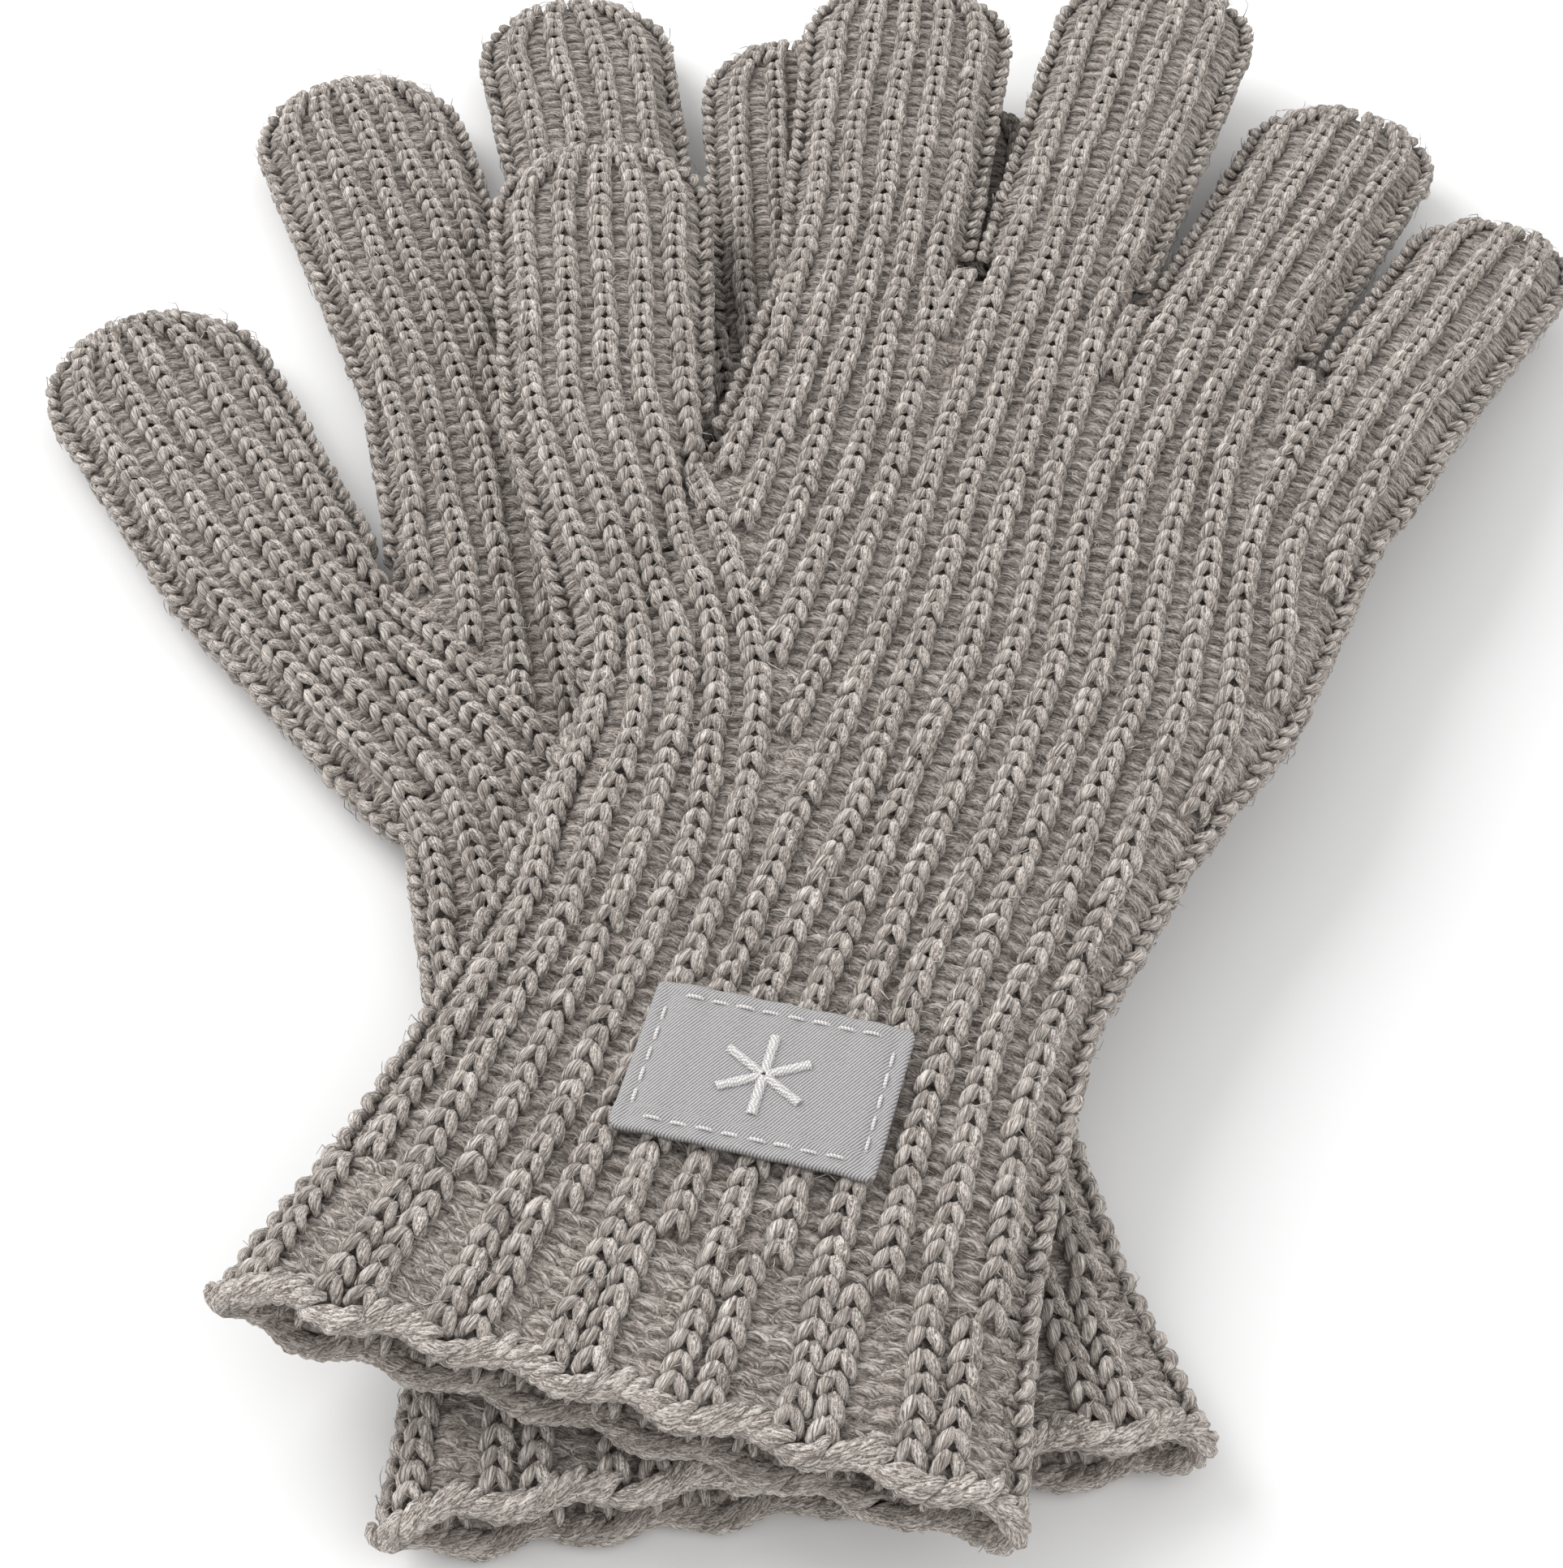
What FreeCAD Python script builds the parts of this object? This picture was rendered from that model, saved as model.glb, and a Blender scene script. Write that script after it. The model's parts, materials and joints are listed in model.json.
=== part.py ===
"""A pair of rib-knit gloves, the right glove lying on the left one.

Each glove is one knitted sleeve that is wide at the cuff, narrow at the wrist and closed at five
fingers. It is divided here where the knitting changes (cuff edge, cuff, wrist, hand) and where it
folds (thumb and fingers). Every section is a hollow, flattened tube with a soft rounded rim.

A glove's own frame has its origin at the middle of the cuff opening, +Y towards the middle
finger, +Z up through the flattened glove, and the thumb on the -X side. The assembly stands on
Z = 0 with the fingers towards +Y.
"""
import FreeCAD, Part
import math
import os

import Sketcher
from FreeCAD import Placement, Rotation, Vector

FINGERS = ("thumb", "index", "middle", "ring", "little")

SIZES = {
    # Fabric and clearances.
    "glove_thickness": 9.6,
    "skin_thickness": 1.7,
    "rim_radius": 3.9,
    "fold_gap": 0.3,
    "stack_gap": 0.6,
    # Cuff and wrist, measured along the glove from the cuff opening.
    "edge_length": 4.0,
    "cuff_length": 14.0,
    "wrist_length": 34.0,
    "edge_width": 75.0,
    "cuff_width": 73.0,
    "wrist_start_width": 67.0,
    "wrist_width": 61.4,
    # Outline of the hand between the wrist and the fingers.
    "heel_left": -32.0,
    "heel_right": 35.5,
    "heel_height": 78.0,
    "thumb_base_left": -45.0,
    "thumb_base_height": 98.5,
    "thumb_crotch_left": -31.4,
    "thumb_crotch_height": 123.0,
    "index_side_left": -33.0,
    "index_side_height": 131.6,
    "index_crotch_left": -11.9,
    "index_crotch_height": 159.0,
    "middle_crotch_right": 9.4,
    "middle_crotch_height": 155.0,
    "little_crotch_right": 30.8,
    "little_crotch_height": 149.5,
    "palm_right": 41.6,
    "palm_height": 97.0,
    "knuckle_right": 44.7,
    "knuckle_height": 128.0,
    # Fingers: middle of the fold line, lean from +Y in degrees (clockwise is positive), width at
    # the fold, width before the rounded tip, and length from the fold to the tip.
    "thumb_fold_across": -45.5,
    "thumb_fold_along": 123.1,
    "thumb_lean": -21.5,
    "thumb_root_width": 25.0,
    "thumb_tip_width": 26.5,
    "thumb_length": 50.4,
    "index_fold_across": -23.9,
    "index_fold_along": 159.8,
    "index_lean": -11.6,
    "index_root_width": 23.0,
    "index_tip_width": 25.6,
    "index_length": 59.9,
    "middle_fold_across": -1.2,
    "middle_fold_along": 163.0,
    "middle_lean": -1.8,
    "middle_root_width": 20.4,
    "middle_tip_width": 24.8,
    "middle_length": 71.0,
    "ring_fold_across": 20.2,
    "ring_fold_along": 158.0,
    "ring_lean": 6.2,
    "ring_root_width": 20.6,
    "ring_tip_width": 22.8,
    "ring_length": 62.4,
    "little_fold_across": 41.0,
    "little_fold_along": 154.4,
    "little_lean": 10.9,
    "little_root_width": 18.8,
    "little_tip_width": 20.0,
    "little_length": 47.5,
    # The left index finger folds further out, where the upper glove no longer covers it.
    "left_index_setback": 22.0,
    "channel_reach": 16.0,
    # Where the gloves lie. The upper glove's outer fingers hang down past the lower glove.
    "right_turn": -18.0,
    "right_across": -20.2,
    "right_along": -109.85,
    "left_turn": 7.0,
    "left_across": -3.7,
    "left_along": -111.85,
    "middle_droop": 2.5,
    "ring_droop": 8.5,
    "little_droop": 11.0,
    # Woven label sewn on the back of the right wrist.
    "label_length": 25.0,
    "label_height": 17.5,
    "label_thickness": 0.8,
    "label_corner_radius": 0.8,
    "label_across": 3.0,
    "label_along": 34.0,
    "label_turn": 3.5,
    "stitch_inset": 1.5,
    "stitch_length": 1.7,
    "stitch_pitch": 2.45,
    "stitch_thickness": 0.35,
    "motif_arm": 9.0,
    "motif_bar": 0.9,
    "motif_height": 0.35,
}

document = FreeCAD.newDocument("KnittedGloves")
sheet = document.addObject("Spreadsheet::Sheet", "Sizes")
for row, (alias, number) in enumerate(SIZES.items(), start=1):
    sheet.set("A%d" % row, alias)
    sheet.set("B%d" % row, str(number))
    sheet.setAlias("B%d" % row, alias)
document.recompute()

sub_parts = []


def size(alias):
    """Return a driving dimension from the spreadsheet."""
    return float(sheet.get(alias))


class Corner:
    """A corner of an outline: its numbers, and the expressions that drive them."""

    def __init__(self, x, y, x_expression, y_expression):
        self.x = x
        self.y = y
        self.x_expression = x_expression
        self.y_expression = y_expression

    def moved(self, across, along):
        """Return this corner moved by so many skin thicknesses across and along the glove."""
        skin = size("skin_thickness")
        return Corner(
            self.x + across * skin,
            self.y + along * skin,
            "%s + %g * Sizes.skin_thickness" % (self.x_expression, across),
            "%s + %g * Sizes.skin_thickness" % (self.y_expression, along),
        )


def corner(across_alias, along_alias):
    """Return the corner whose two coordinates are cells of the sheet."""
    return Corner(
        size(across_alias),
        size(along_alias),
        "Sizes." + across_alias,
        "Sizes." + along_alias,
    )


def corner_on_width(side, width_alias, along, along_expression):
    """Return a corner half a width to one side of the glove's centre line."""
    return Corner(
        side * size(width_alias) / 2,
        along,
        "%g * Sizes.%s / 2" % (side, width_alias),
        along_expression,
    )


def fold_width(finger, setback):
    """Return a finger's width, and its expression, at a distance past its fold line."""
    root = size(finger + "_root_width")
    growth = (size(finger + "_tip_width") - root) / size(finger + "_length")
    expression = "(Sizes.%s_root_width + (Sizes.%s_tip_width - Sizes.%s_root_width)" % ((finger,) * 3)
    expression += " * %s / Sizes.%s_length)" % (setback[1], finger)
    return root + growth * setback[0], expression


def fold_corner(finger, side, setback):
    """Return one end of a finger's fold line, moved out along the finger by the setback."""
    lean = math.radians(size(finger + "_lean"))
    width, width_expression = fold_width(finger, setback)
    lean_expression = "Sizes.%s_lean" % finger
    x = size(finger + "_fold_across") + setback[0] * math.sin(lean) + side * width / 2 * math.cos(lean)
    y = size(finger + "_fold_along") + setback[0] * math.cos(lean) - side * width / 2 * math.sin(lean)
    x_expression = "Sizes.%s_fold_across + %s * sin(%s) + %g * %s / 2 * cos(%s)" % (
        finger, setback[1], lean_expression, side, width_expression, lean_expression)
    y_expression = "Sizes.%s_fold_along + %s * cos(%s) - %g * %s / 2 * sin(%s)" % (
        finger, setback[1], lean_expression, side, width_expression, lean_expression)
    return Corner(x, y, x_expression, y_expression)


def new_body(name):
    """Start a sub-part and remember it."""
    body = document.addObject("PartDesign::Body", name + "_body")
    body.Label = name
    sub_parts.append(body)
    return body


def origin_plane(body, role):
    """Return one of a body's own origin planes."""
    return next(plane for plane in body.Origin.OriginFeatures if plane.Role == role)


def closed_outline(body, name, corners):
    """Draw a closed outline of straight edges on the body's XY plane, driven by the sheet."""
    sketch = body.newObject("Sketcher::SketchObject", name)
    sketch.AttachmentSupport = [(origin_plane(body, "XY_Plane"), "")]
    sketch.MapMode = "FlatFace"
    count = len(corners)
    for index, start in enumerate(corners):
        end = corners[(index + 1) % count]
        sketch.addGeometry(Part.LineSegment(Vector(start.x, start.y, 0), Vector(end.x, end.y, 0)), False)
    for index, start in enumerate(corners):
        sketch.addConstraint(Sketcher.Constraint("Coincident", index, 2, (index + 1) % count, 1))
        across = sketch.addConstraint(Sketcher.Constraint("DistanceX", -1, 1, index, 1, start.x))
        along = sketch.addConstraint(Sketcher.Constraint("DistanceY", -1, 1, index, 1, start.y))
        sketch.setExpression("Constraints[%d]" % across, start.x_expression)
        sketch.setExpression("Constraints[%d]" % along, start.y_expression)
    return sketch


def pad_outline(body, corners):
    """Pad an outline to the flattened glove's thickness."""
    pad = body.newObject("PartDesign::Pad", "Pad")
    pad.Profile = closed_outline(body, "Outline", corners)
    pad.setExpression("Length", "Sizes.glove_thickness")
    document.recompute()
    return pad


def round_rims(body, base, is_rim):
    """Round the top and bottom edges that is_rim picks by their two end points."""
    thickness = size("glove_thickness")
    names = []
    for number, edge in enumerate(base.Shape.Edges, start=1):
        ends = [vertex.Point for vertex in edge.Vertexes]
        level = [abs(end.z) < 1e-4 or abs(end.z - thickness) < 1e-4 for end in ends]
        flat = abs(ends[0].z - ends[-1].z) < 1e-4
        if all(level) and flat and is_rim(ends[0], ends[-1]):
            names.append("Edge%d" % number)
    fillet = body.newObject("PartDesign::Fillet", "SoftRim")
    fillet.Base = (base, names)
    fillet.setExpression("Radius", "Sizes.rim_radius")
    document.recompute()
    return fillet


def hollow(body, name, corners):
    """Cut the flat hollow between the two skins, over an outline."""
    before = body.Shape.Volume
    sketch = closed_outline(body, name + "Outline", corners)
    sketch.setExpression("AttachmentOffset.Base.z", "Sizes.glove_thickness / 2")
    pocket = body.newObject("PartDesign::Pocket", name)
    pocket.Profile = sketch
    pocket.Midplane = True
    pocket.setExpression("Length", "Sizes.glove_thickness - 2 * Sizes.skin_thickness")
    document.recompute()
    if not body.Shape.Volume < before - 1:
        raise RuntimeError("%s cut nothing in %s" % (name, body.Label))
    return pocket


def glove_placement(glove):
    """Return where a glove lies in the assembly."""
    lift = size("glove_thickness") + size("stack_gap") if glove == "right" else 0
    place = Vector(size(glove + "_across"), size(glove + "_along"), lift)
    return Placement(place, Rotation(Vector(0, 0, 1), size(glove + "_turn")))


def sleeve(glove, section, start, widths):
    """Make one open-ended section of the sleeve: the cuff edge, the cuff or the wrist."""
    body = new_body("%s_%s" % (glove, section))
    length_alias = {"cuff_edge": "edge_length", "cuff": "cuff_length", "wrist": "wrist_length"}[section]
    length = size(length_alias)
    length_expression = "Sizes." + length_alias
    outline = [
        corner_on_width(-1, widths[0], 0, "0"),
        corner_on_width(1, widths[0], 0, "0"),
        corner_on_width(1, widths[1], length, length_expression),
        corner_on_width(-1, widths[1], length, length_expression),
    ]
    pad = pad_outline(body, outline)
    round_rims(body, pad, lambda a, b: abs(a.y - b.y) > length / 2)
    inset = [(1, -1), (-1, -1), (-1, 1), (1, 1)]
    hollow(body, "Hollow", [place.moved(*step) for place, step in zip(outline, inset)])
    body.Placement = glove_placement(glove).multiply(Placement(Vector(0, start, 0), Rotation()))


def hand_outline(setbacks):
    """Return the outline of the hand, from the wrist round to the thumb."""
    cuff = size("edge_length") + size("cuff_length") + size("wrist_length")
    cuff_expression = "Sizes.edge_length + Sizes.cuff_length + Sizes.wrist_length"
    return [
        corner_on_width(-1, "wrist_width", cuff, cuff_expression),
        corner_on_width(1, "wrist_width", cuff, cuff_expression),
        corner("heel_right", "heel_height"),
        corner("palm_right", "palm_height"),
        corner("knuckle_right", "knuckle_height"),
        fold_corner("little", 1, setbacks["little"]),
        fold_corner("little", -1, setbacks["little"]),
        corner("little_crotch_right", "little_crotch_height"),
        fold_corner("ring", 1, setbacks["ring"]),
        fold_corner("ring", -1, setbacks["ring"]),
        corner("middle_crotch_right", "middle_crotch_height"),
        fold_corner("middle", 1, setbacks["middle"]),
        fold_corner("middle", -1, setbacks["middle"]),
        corner("index_crotch_left", "index_crotch_height"),
        fold_corner("index", 1, setbacks["index"]),
        fold_corner("index", -1, setbacks["index"]),
        corner("index_side_left", "index_side_height"),
        corner("thumb_crotch_left", "thumb_crotch_height"),
        fold_corner("thumb", 1, setbacks["thumb"]),
        fold_corner("thumb", -1, setbacks["thumb"]),
        corner("thumb_base_left", "thumb_base_height"),
        corner("heel_left", "heel_height"),
    ]


def hand_hollow_outline(outline):
    """Return the outline of the hollow of the palm, open to the wrist.

    Each corner is one of the hand's own corners, moved in by so many skin thicknesses across and along.
    """
    wrist_left, wrist_right, heel_right, palm_right, knuckle_right = outline[:5]
    little_crotch, middle_crotch, index_crotch = outline[7], outline[10], outline[13]
    index_side, thumb_crotch = outline[16], outline[17]
    thumb_base, heel_left = outline[20], outline[21]
    return [
        wrist_left.moved(1, -1),
        wrist_right.moved(-1, -1),
        heel_right.moved(-1, 0),
        palm_right.moved(-1, 0),
        knuckle_right.moved(-1, 0),
        little_crotch.moved(9, -1.5),
        little_crotch.moved(0, -2),
        middle_crotch.moved(0, -2),
        index_crotch.moved(0, -2),
        index_side.moved(1.2, 6),
        index_side.moved(1.2, 0),
        thumb_crotch.moved(0, -1.5),
        thumb_base.moved(1.2, 4),
        thumb_base.moved(1.2, 0.4),
        heel_left.moved(1, 0),
    ]


def finger_channel(body, finger, setback):
    """Cut the way from the palm's hollow out into a finger."""
    before = body.Shape.Volume
    channel = body.newObject("PartDesign::SubtractiveBox", finger + "_channel")
    width = "(%s - 2 * Sizes.skin_thickness)" % fold_width(finger, setback)[1]
    lean = "Sizes.%s_lean" % finger
    back = "(Sizes.channel_reach - %s)" % setback[1]
    channel.setExpression("Length", width)
    channel.setExpression("Width", "Sizes.channel_reach + Sizes.skin_thickness")
    channel.setExpression("Height", "Sizes.glove_thickness - 2 * Sizes.skin_thickness")
    channel.Placement = Placement(Vector(), Rotation(Vector(0, 0, 1), -size(finger + "_lean")))
    x = "Sizes.%s_fold_across - %s * sin(%s) - %s / 2 * cos(%s)" % (finger, back, lean, width, lean)
    y = "Sizes.%s_fold_along - %s * cos(%s) + %s / 2 * sin(%s)" % (finger, back, lean, width, lean)
    channel.setExpression("Placement.Base.x", x)
    channel.setExpression("Placement.Base.y", y)
    channel.setExpression("Placement.Base.z", "Sizes.skin_thickness")
    document.recompute()
    if not body.Shape.Volume < before - 1:
        raise RuntimeError("the %s channel cut nothing in %s" % (finger, body.Label))


def hand(glove, setbacks):
    """Make the hand: back and palm as one flattened tube, with a stub at each finger."""
    body = new_body(glove + "_hand")
    outline = hand_outline(setbacks)
    pad = pad_outline(body, outline)
    rims = [(1, 2), (2, 3), (3, 4), (4, 5), (19, 20), (20, 21), (21, 0)]

    def is_rim(start, end):
        for first, second in rims:
            ends = {(round(outline[k].x, 3), round(outline[k].y, 3)) for k in (first, second)}
            if {(round(start.x, 3), round(start.y, 3)), (round(end.x, 3), round(end.y, 3))} == ends:
                return True
        return False

    round_rims(body, pad, is_rim)
    hollow(body, "PalmHollow", hand_hollow_outline(outline))
    for finger in FINGERS:
        finger_channel(body, finger, setbacks[finger])
    body.Placement = glove_placement(glove)


def finger_outline(body, width, width_expression, finger, length, length_expression):
    """Draw a finger: a straight fold line, two sides that spread a little, and a round tip."""
    radius = size(finger + "_tip_width") / 2
    centre = length - radius
    spread = math.atan2(radius - width / 2, centre)
    left = Vector(-radius * math.cos(spread), centre - radius * math.sin(spread), 0)
    right = Vector(-left.x, left.y, 0)
    sketch = body.newObject("Sketcher::SketchObject", "FingerOutline")
    sketch.AttachmentSupport = [(origin_plane(body, "XY_Plane"), "")]
    sketch.MapMode = "FlatFace"
    circle = Part.Circle(Vector(0, centre, 0), Vector(0, 0, 1), radius)
    start_angle = math.atan2(right.y - centre, right.x)
    end_angle = math.atan2(left.y - centre, left.x) % (2 * math.pi)
    fold = sketch.addGeometry(Part.LineSegment(Vector(-width / 2, 0, 0), Vector(width / 2, 0, 0)), False)
    right_side = sketch.addGeometry(Part.LineSegment(Vector(width / 2, 0, 0), right), False)
    tip = sketch.addGeometry(Part.ArcOfCircle(circle, start_angle, end_angle), False)
    left_side = sketch.addGeometry(Part.LineSegment(left, Vector(-width / 2, 0, 0)), False)
    add = sketch.addConstraint
    add(Sketcher.Constraint("Coincident", fold, 2, right_side, 1))
    add(Sketcher.Constraint("Coincident", left_side, 2, fold, 1))
    add(Sketcher.Constraint("Tangent", right_side, 2, tip, 1))
    add(Sketcher.Constraint("Tangent", left_side, 1, tip, 2))
    add(Sketcher.Constraint("PointOnObject", fold, 1, -1))
    add(Sketcher.Constraint("Symmetric", fold, 1, fold, 2, -2))
    add(Sketcher.Constraint("PointOnObject", tip, 3, -2))
    across = add(Sketcher.Constraint("DistanceX", fold, 1, fold, 2, width))
    along = add(Sketcher.Constraint("DistanceY", -1, 1, tip, 3, centre))
    round_tip = add(Sketcher.Constraint("Radius", tip, radius))
    sketch.setExpression("Constraints[%d]" % across, width_expression)
    sketch.setExpression("Constraints[%d]" % along,
                         "%s - Sizes.%s_tip_width / 2" % (length_expression, finger))
    sketch.setExpression("Constraints[%d]" % round_tip, "Sizes.%s_tip_width / 2" % finger)
    return sketch


def finger_placement(glove, finger, setback, droop):
    """Return where a finger starts. It hangs down about the lower edge of its fold face."""
    lean = size(finger + "_lean")
    reach = setback + size("fold_gap")
    base = Vector(
        size(finger + "_fold_across") + reach * math.sin(math.radians(lean)),
        size(finger + "_fold_along") + reach * math.cos(math.radians(lean)),
        0,
    )
    turn = Placement(base, Rotation(Vector(0, 0, 1), -lean))
    pitch = Placement(Vector(), Rotation(Vector(1, 0, 0), -droop))
    return glove_placement(glove).multiply(turn).multiply(pitch)


def finger_sleeve(glove, finger, setback):
    """Make a thumb or finger: a flattened tube, closed and rounded at its tip."""
    name = finger if finger == "thumb" else finger + "_finger"
    body = new_body("%s_%s" % (glove, name))
    width, width_expression = fold_width(finger, setback)
    length = size(finger + "_length") - setback[0]
    length_expression = "(Sizes.%s_length - %s)" % (finger, setback[1])
    pad = body.newObject("PartDesign::Pad", "Pad")
    pad.Profile = finger_outline(body, width, width_expression, finger, length, length_expression)
    pad.setExpression("Length", "Sizes.glove_thickness")
    document.recompute()
    round_rims(body, pad, lambda a, b: abs(a.y) > 1e-3 or abs(b.y) > 1e-3)
    before = body.Shape.Volume
    inside = body.newObject("PartDesign::SubtractiveBox", "Inside")
    inside_width = "(%s - 2 * Sizes.skin_thickness)" % width_expression
    inside.setExpression("Length", inside_width)
    inside.setExpression("Width", "%s - Sizes.%s_tip_width / 2" % (length_expression, finger))
    inside.setExpression("Height", "Sizes.glove_thickness - 2 * Sizes.skin_thickness")
    inside.setExpression("Placement.Base.x", "-%s / 2" % inside_width)
    inside.setExpression("Placement.Base.y", "-Sizes.fold_gap")
    inside.setExpression("Placement.Base.z", "Sizes.skin_thickness")
    document.recompute()
    if not body.Shape.Volume < before - 1:
        raise RuntimeError("the hollow cut nothing in " + body.Label)
    droop = size(finger + "_droop") if glove == "right" and finger + "_droop" in SIZES else 0
    body.Placement = finger_placement(glove, finger, setback[0], droop)


def make_glove(glove):
    """Make one glove, section by section from the cuff opening to the fingertips.

    A finger's setback is how far past its root it folds: a length, and the same length as an expression.
    """
    no_setback = (0.0, "0")
    setbacks = {finger: no_setback for finger in FINGERS}
    if glove == "left":
        setbacks["index"] = (size("left_index_setback"), "Sizes.left_index_setback")
    sleeve(glove, "cuff_edge", 0, ("edge_width", "cuff_width"))
    sleeve(glove, "cuff", size("edge_length"), ("cuff_width", "wrist_start_width"))
    wrist_start = size("edge_length") + size("cuff_length")
    sleeve(glove, "wrist", wrist_start, ("wrist_start_width", "wrist_width"))
    hand(glove, setbacks)
    for finger in FINGERS:
        finger_sleeve(glove, finger, setbacks[finger])


def label_placement(height):
    """Return the label's middle, at a height above the upper glove's back."""
    local = Placement(
        Vector(size("label_across"), size("label_along"), size("glove_thickness") + height),
        Rotation(Vector(0, 0, 1), size("label_turn")),
    )
    return glove_placement("right").multiply(local)


def wrist_label():
    """Make the woven label: a thin rectangle with slightly rounded corners."""
    body = new_body("wrist_label")
    half_length = size("label_length") / 2
    half_height = size("label_height") / 2
    outline = []
    for x, y in ((-1, -1), (1, -1), (1, 1), (-1, 1)):
        x_expression = "%g * Sizes.label_length / 2" % x
        y_expression = "%g * Sizes.label_height / 2" % y
        outline.append(Corner(x * half_length, y * half_height, x_expression, y_expression))
    pad = body.newObject("PartDesign::Pad", "Pad")
    pad.Profile = closed_outline(body, "LabelOutline", outline)
    pad.setExpression("Length", "Sizes.label_thickness")
    document.recompute()
    upright = [
        "Edge%d" % number
        for number, edge in enumerate(pad.Shape.Edges, start=1)
        if abs(edge.Vertexes[0].Z - edge.Vertexes[-1].Z) > 0.1
    ]
    fillet = body.newObject("PartDesign::Fillet", "RoundCorners")
    fillet.Base = (pad, upright)
    fillet.setExpression("Radius", "Sizes.label_corner_radius")
    document.recompute()
    body.Placement = label_placement(0)


def stitch_row(centre, direction, length):
    """Return the separate stitches of one straight row, spaced evenly about its middle."""
    pitch = size("stitch_pitch")
    radius = size("stitch_thickness") / 2
    count = int(length / pitch)
    stitches = []
    for index in range(count):
        middle = centre + direction * ((index - (count - 1) / 2) * pitch)
        start = middle - direction * (size("stitch_length") / 2)
        stitches.append(Part.makeCylinder(radius, size("stitch_length"), start, direction))
    return stitches


def label_stitching():
    """Make the running stitches that sew the label down, just inside its four edges."""
    across = size("label_length") / 2 - size("stitch_inset")
    along = size("label_height") / 2 - size("stitch_inset")
    pitch = size("stitch_pitch")
    stitches = []
    for side in (-1, 1):
        stitches += stitch_row(Vector(0, side * along, 0), Vector(1, 0, 0), 2 * across)
        stitches += stitch_row(Vector(side * across, 0, 0), Vector(0, 1, 0), 2 * along - pitch)
    thread = document.addObject("Part::Feature", "label_stitching_shape")
    thread.Label = "label_stitching"
    thread.Shape = Part.makeCompound(stitches)
    thread.Placement = label_placement(size("label_thickness") + size("stitch_thickness") / 2)
    sub_parts.append(thread)


def label_motif():
    """Make the raised motif: a plain six-armed star of embroidered bars."""
    arm = size("motif_arm")
    bar = size("motif_bar")
    height = size("motif_height")
    bars = []
    for angle in (0, 60, 120):
        box = Part.makeBox(arm, bar, height, Vector(-arm / 2, -bar / 2, 0))
        box.rotate(Vector(0, 0, 0), Vector(0, 0, 1), angle + 90)
        bars.append(box)
    motif = document.addObject("Part::Feature", "label_motif_shape")
    motif.Label = "label_motif"
    motif.Shape = bars[0].fuse(bars[1:]).removeSplitter()
    motif.Placement = label_placement(size("label_thickness"))
    sub_parts.append(motif)


def check_document():
    """Stop if any object failed or any sub-part is not a valid shape."""
    for item in document.Objects:
        if "Invalid" in item.State or "Error" in item.State:
            raise RuntimeError("%s failed: %s" % (item.Label, item.State))
    for part in sub_parts:
        if part.Shape.isNull() or not part.Shape.isValid():
            raise RuntimeError("%s is not a valid shape" % part.Label)


def write_parts():
    """Write each sub-part to its own file and print its size."""
    os.makedirs("parts", exist_ok=True)
    for part in sub_parts:
        part.Shape.exportStep("parts/%s.step" % part.Label)
        box = part.Shape.BoundBox
        print("%-22s solids %2d  volume %8.1f  x %.1f..%.1f  y %.1f..%.1f  z %.1f..%.1f" % (
            part.Label, len(part.Shape.Solids), part.Shape.Volume,
            box.XMin, box.XMax, box.YMin, box.YMax, box.ZMin, box.ZMax))


make_glove("left")
make_glove("right")
wrist_label()
label_stitching()
label_motif()
document.recompute()
check_document()
write_parts()
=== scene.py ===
"""A pair of rib-knit gloves, one lying across the other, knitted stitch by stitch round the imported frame.

Every length below is in millimetres, in the glove's own frame: the origin is the middle of the cuff
opening, +Y points to the middle finger, the thumb is on -X and Z 0 is the middle of the thickness.
A glove's plan is a depth function (how far a point lies inside the outline). The fabric's surface is
a pillow on that plan, the knit columns are curves on it, and each stitch is two strands on a curve.
"""
import json
import math
from collections import namedtuple

import bpy
import numpy as np
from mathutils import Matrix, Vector


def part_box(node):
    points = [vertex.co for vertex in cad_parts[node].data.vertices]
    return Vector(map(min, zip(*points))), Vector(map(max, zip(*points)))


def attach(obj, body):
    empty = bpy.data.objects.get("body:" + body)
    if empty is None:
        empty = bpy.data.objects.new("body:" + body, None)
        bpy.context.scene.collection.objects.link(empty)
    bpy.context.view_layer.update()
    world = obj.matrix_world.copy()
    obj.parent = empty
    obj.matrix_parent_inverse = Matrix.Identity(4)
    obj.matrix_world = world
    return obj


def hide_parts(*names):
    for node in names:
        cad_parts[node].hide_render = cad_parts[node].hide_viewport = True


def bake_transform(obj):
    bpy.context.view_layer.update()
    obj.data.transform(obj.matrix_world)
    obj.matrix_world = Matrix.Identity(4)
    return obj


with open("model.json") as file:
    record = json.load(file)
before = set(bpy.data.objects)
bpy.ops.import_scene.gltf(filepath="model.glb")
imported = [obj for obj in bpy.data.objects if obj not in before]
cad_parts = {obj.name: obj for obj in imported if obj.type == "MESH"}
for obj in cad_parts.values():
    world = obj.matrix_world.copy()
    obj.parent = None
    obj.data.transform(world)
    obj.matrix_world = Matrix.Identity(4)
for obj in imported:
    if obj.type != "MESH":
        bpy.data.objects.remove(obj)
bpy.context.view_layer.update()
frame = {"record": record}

MM = 0.001
rng = np.random.default_rng(9)

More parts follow.
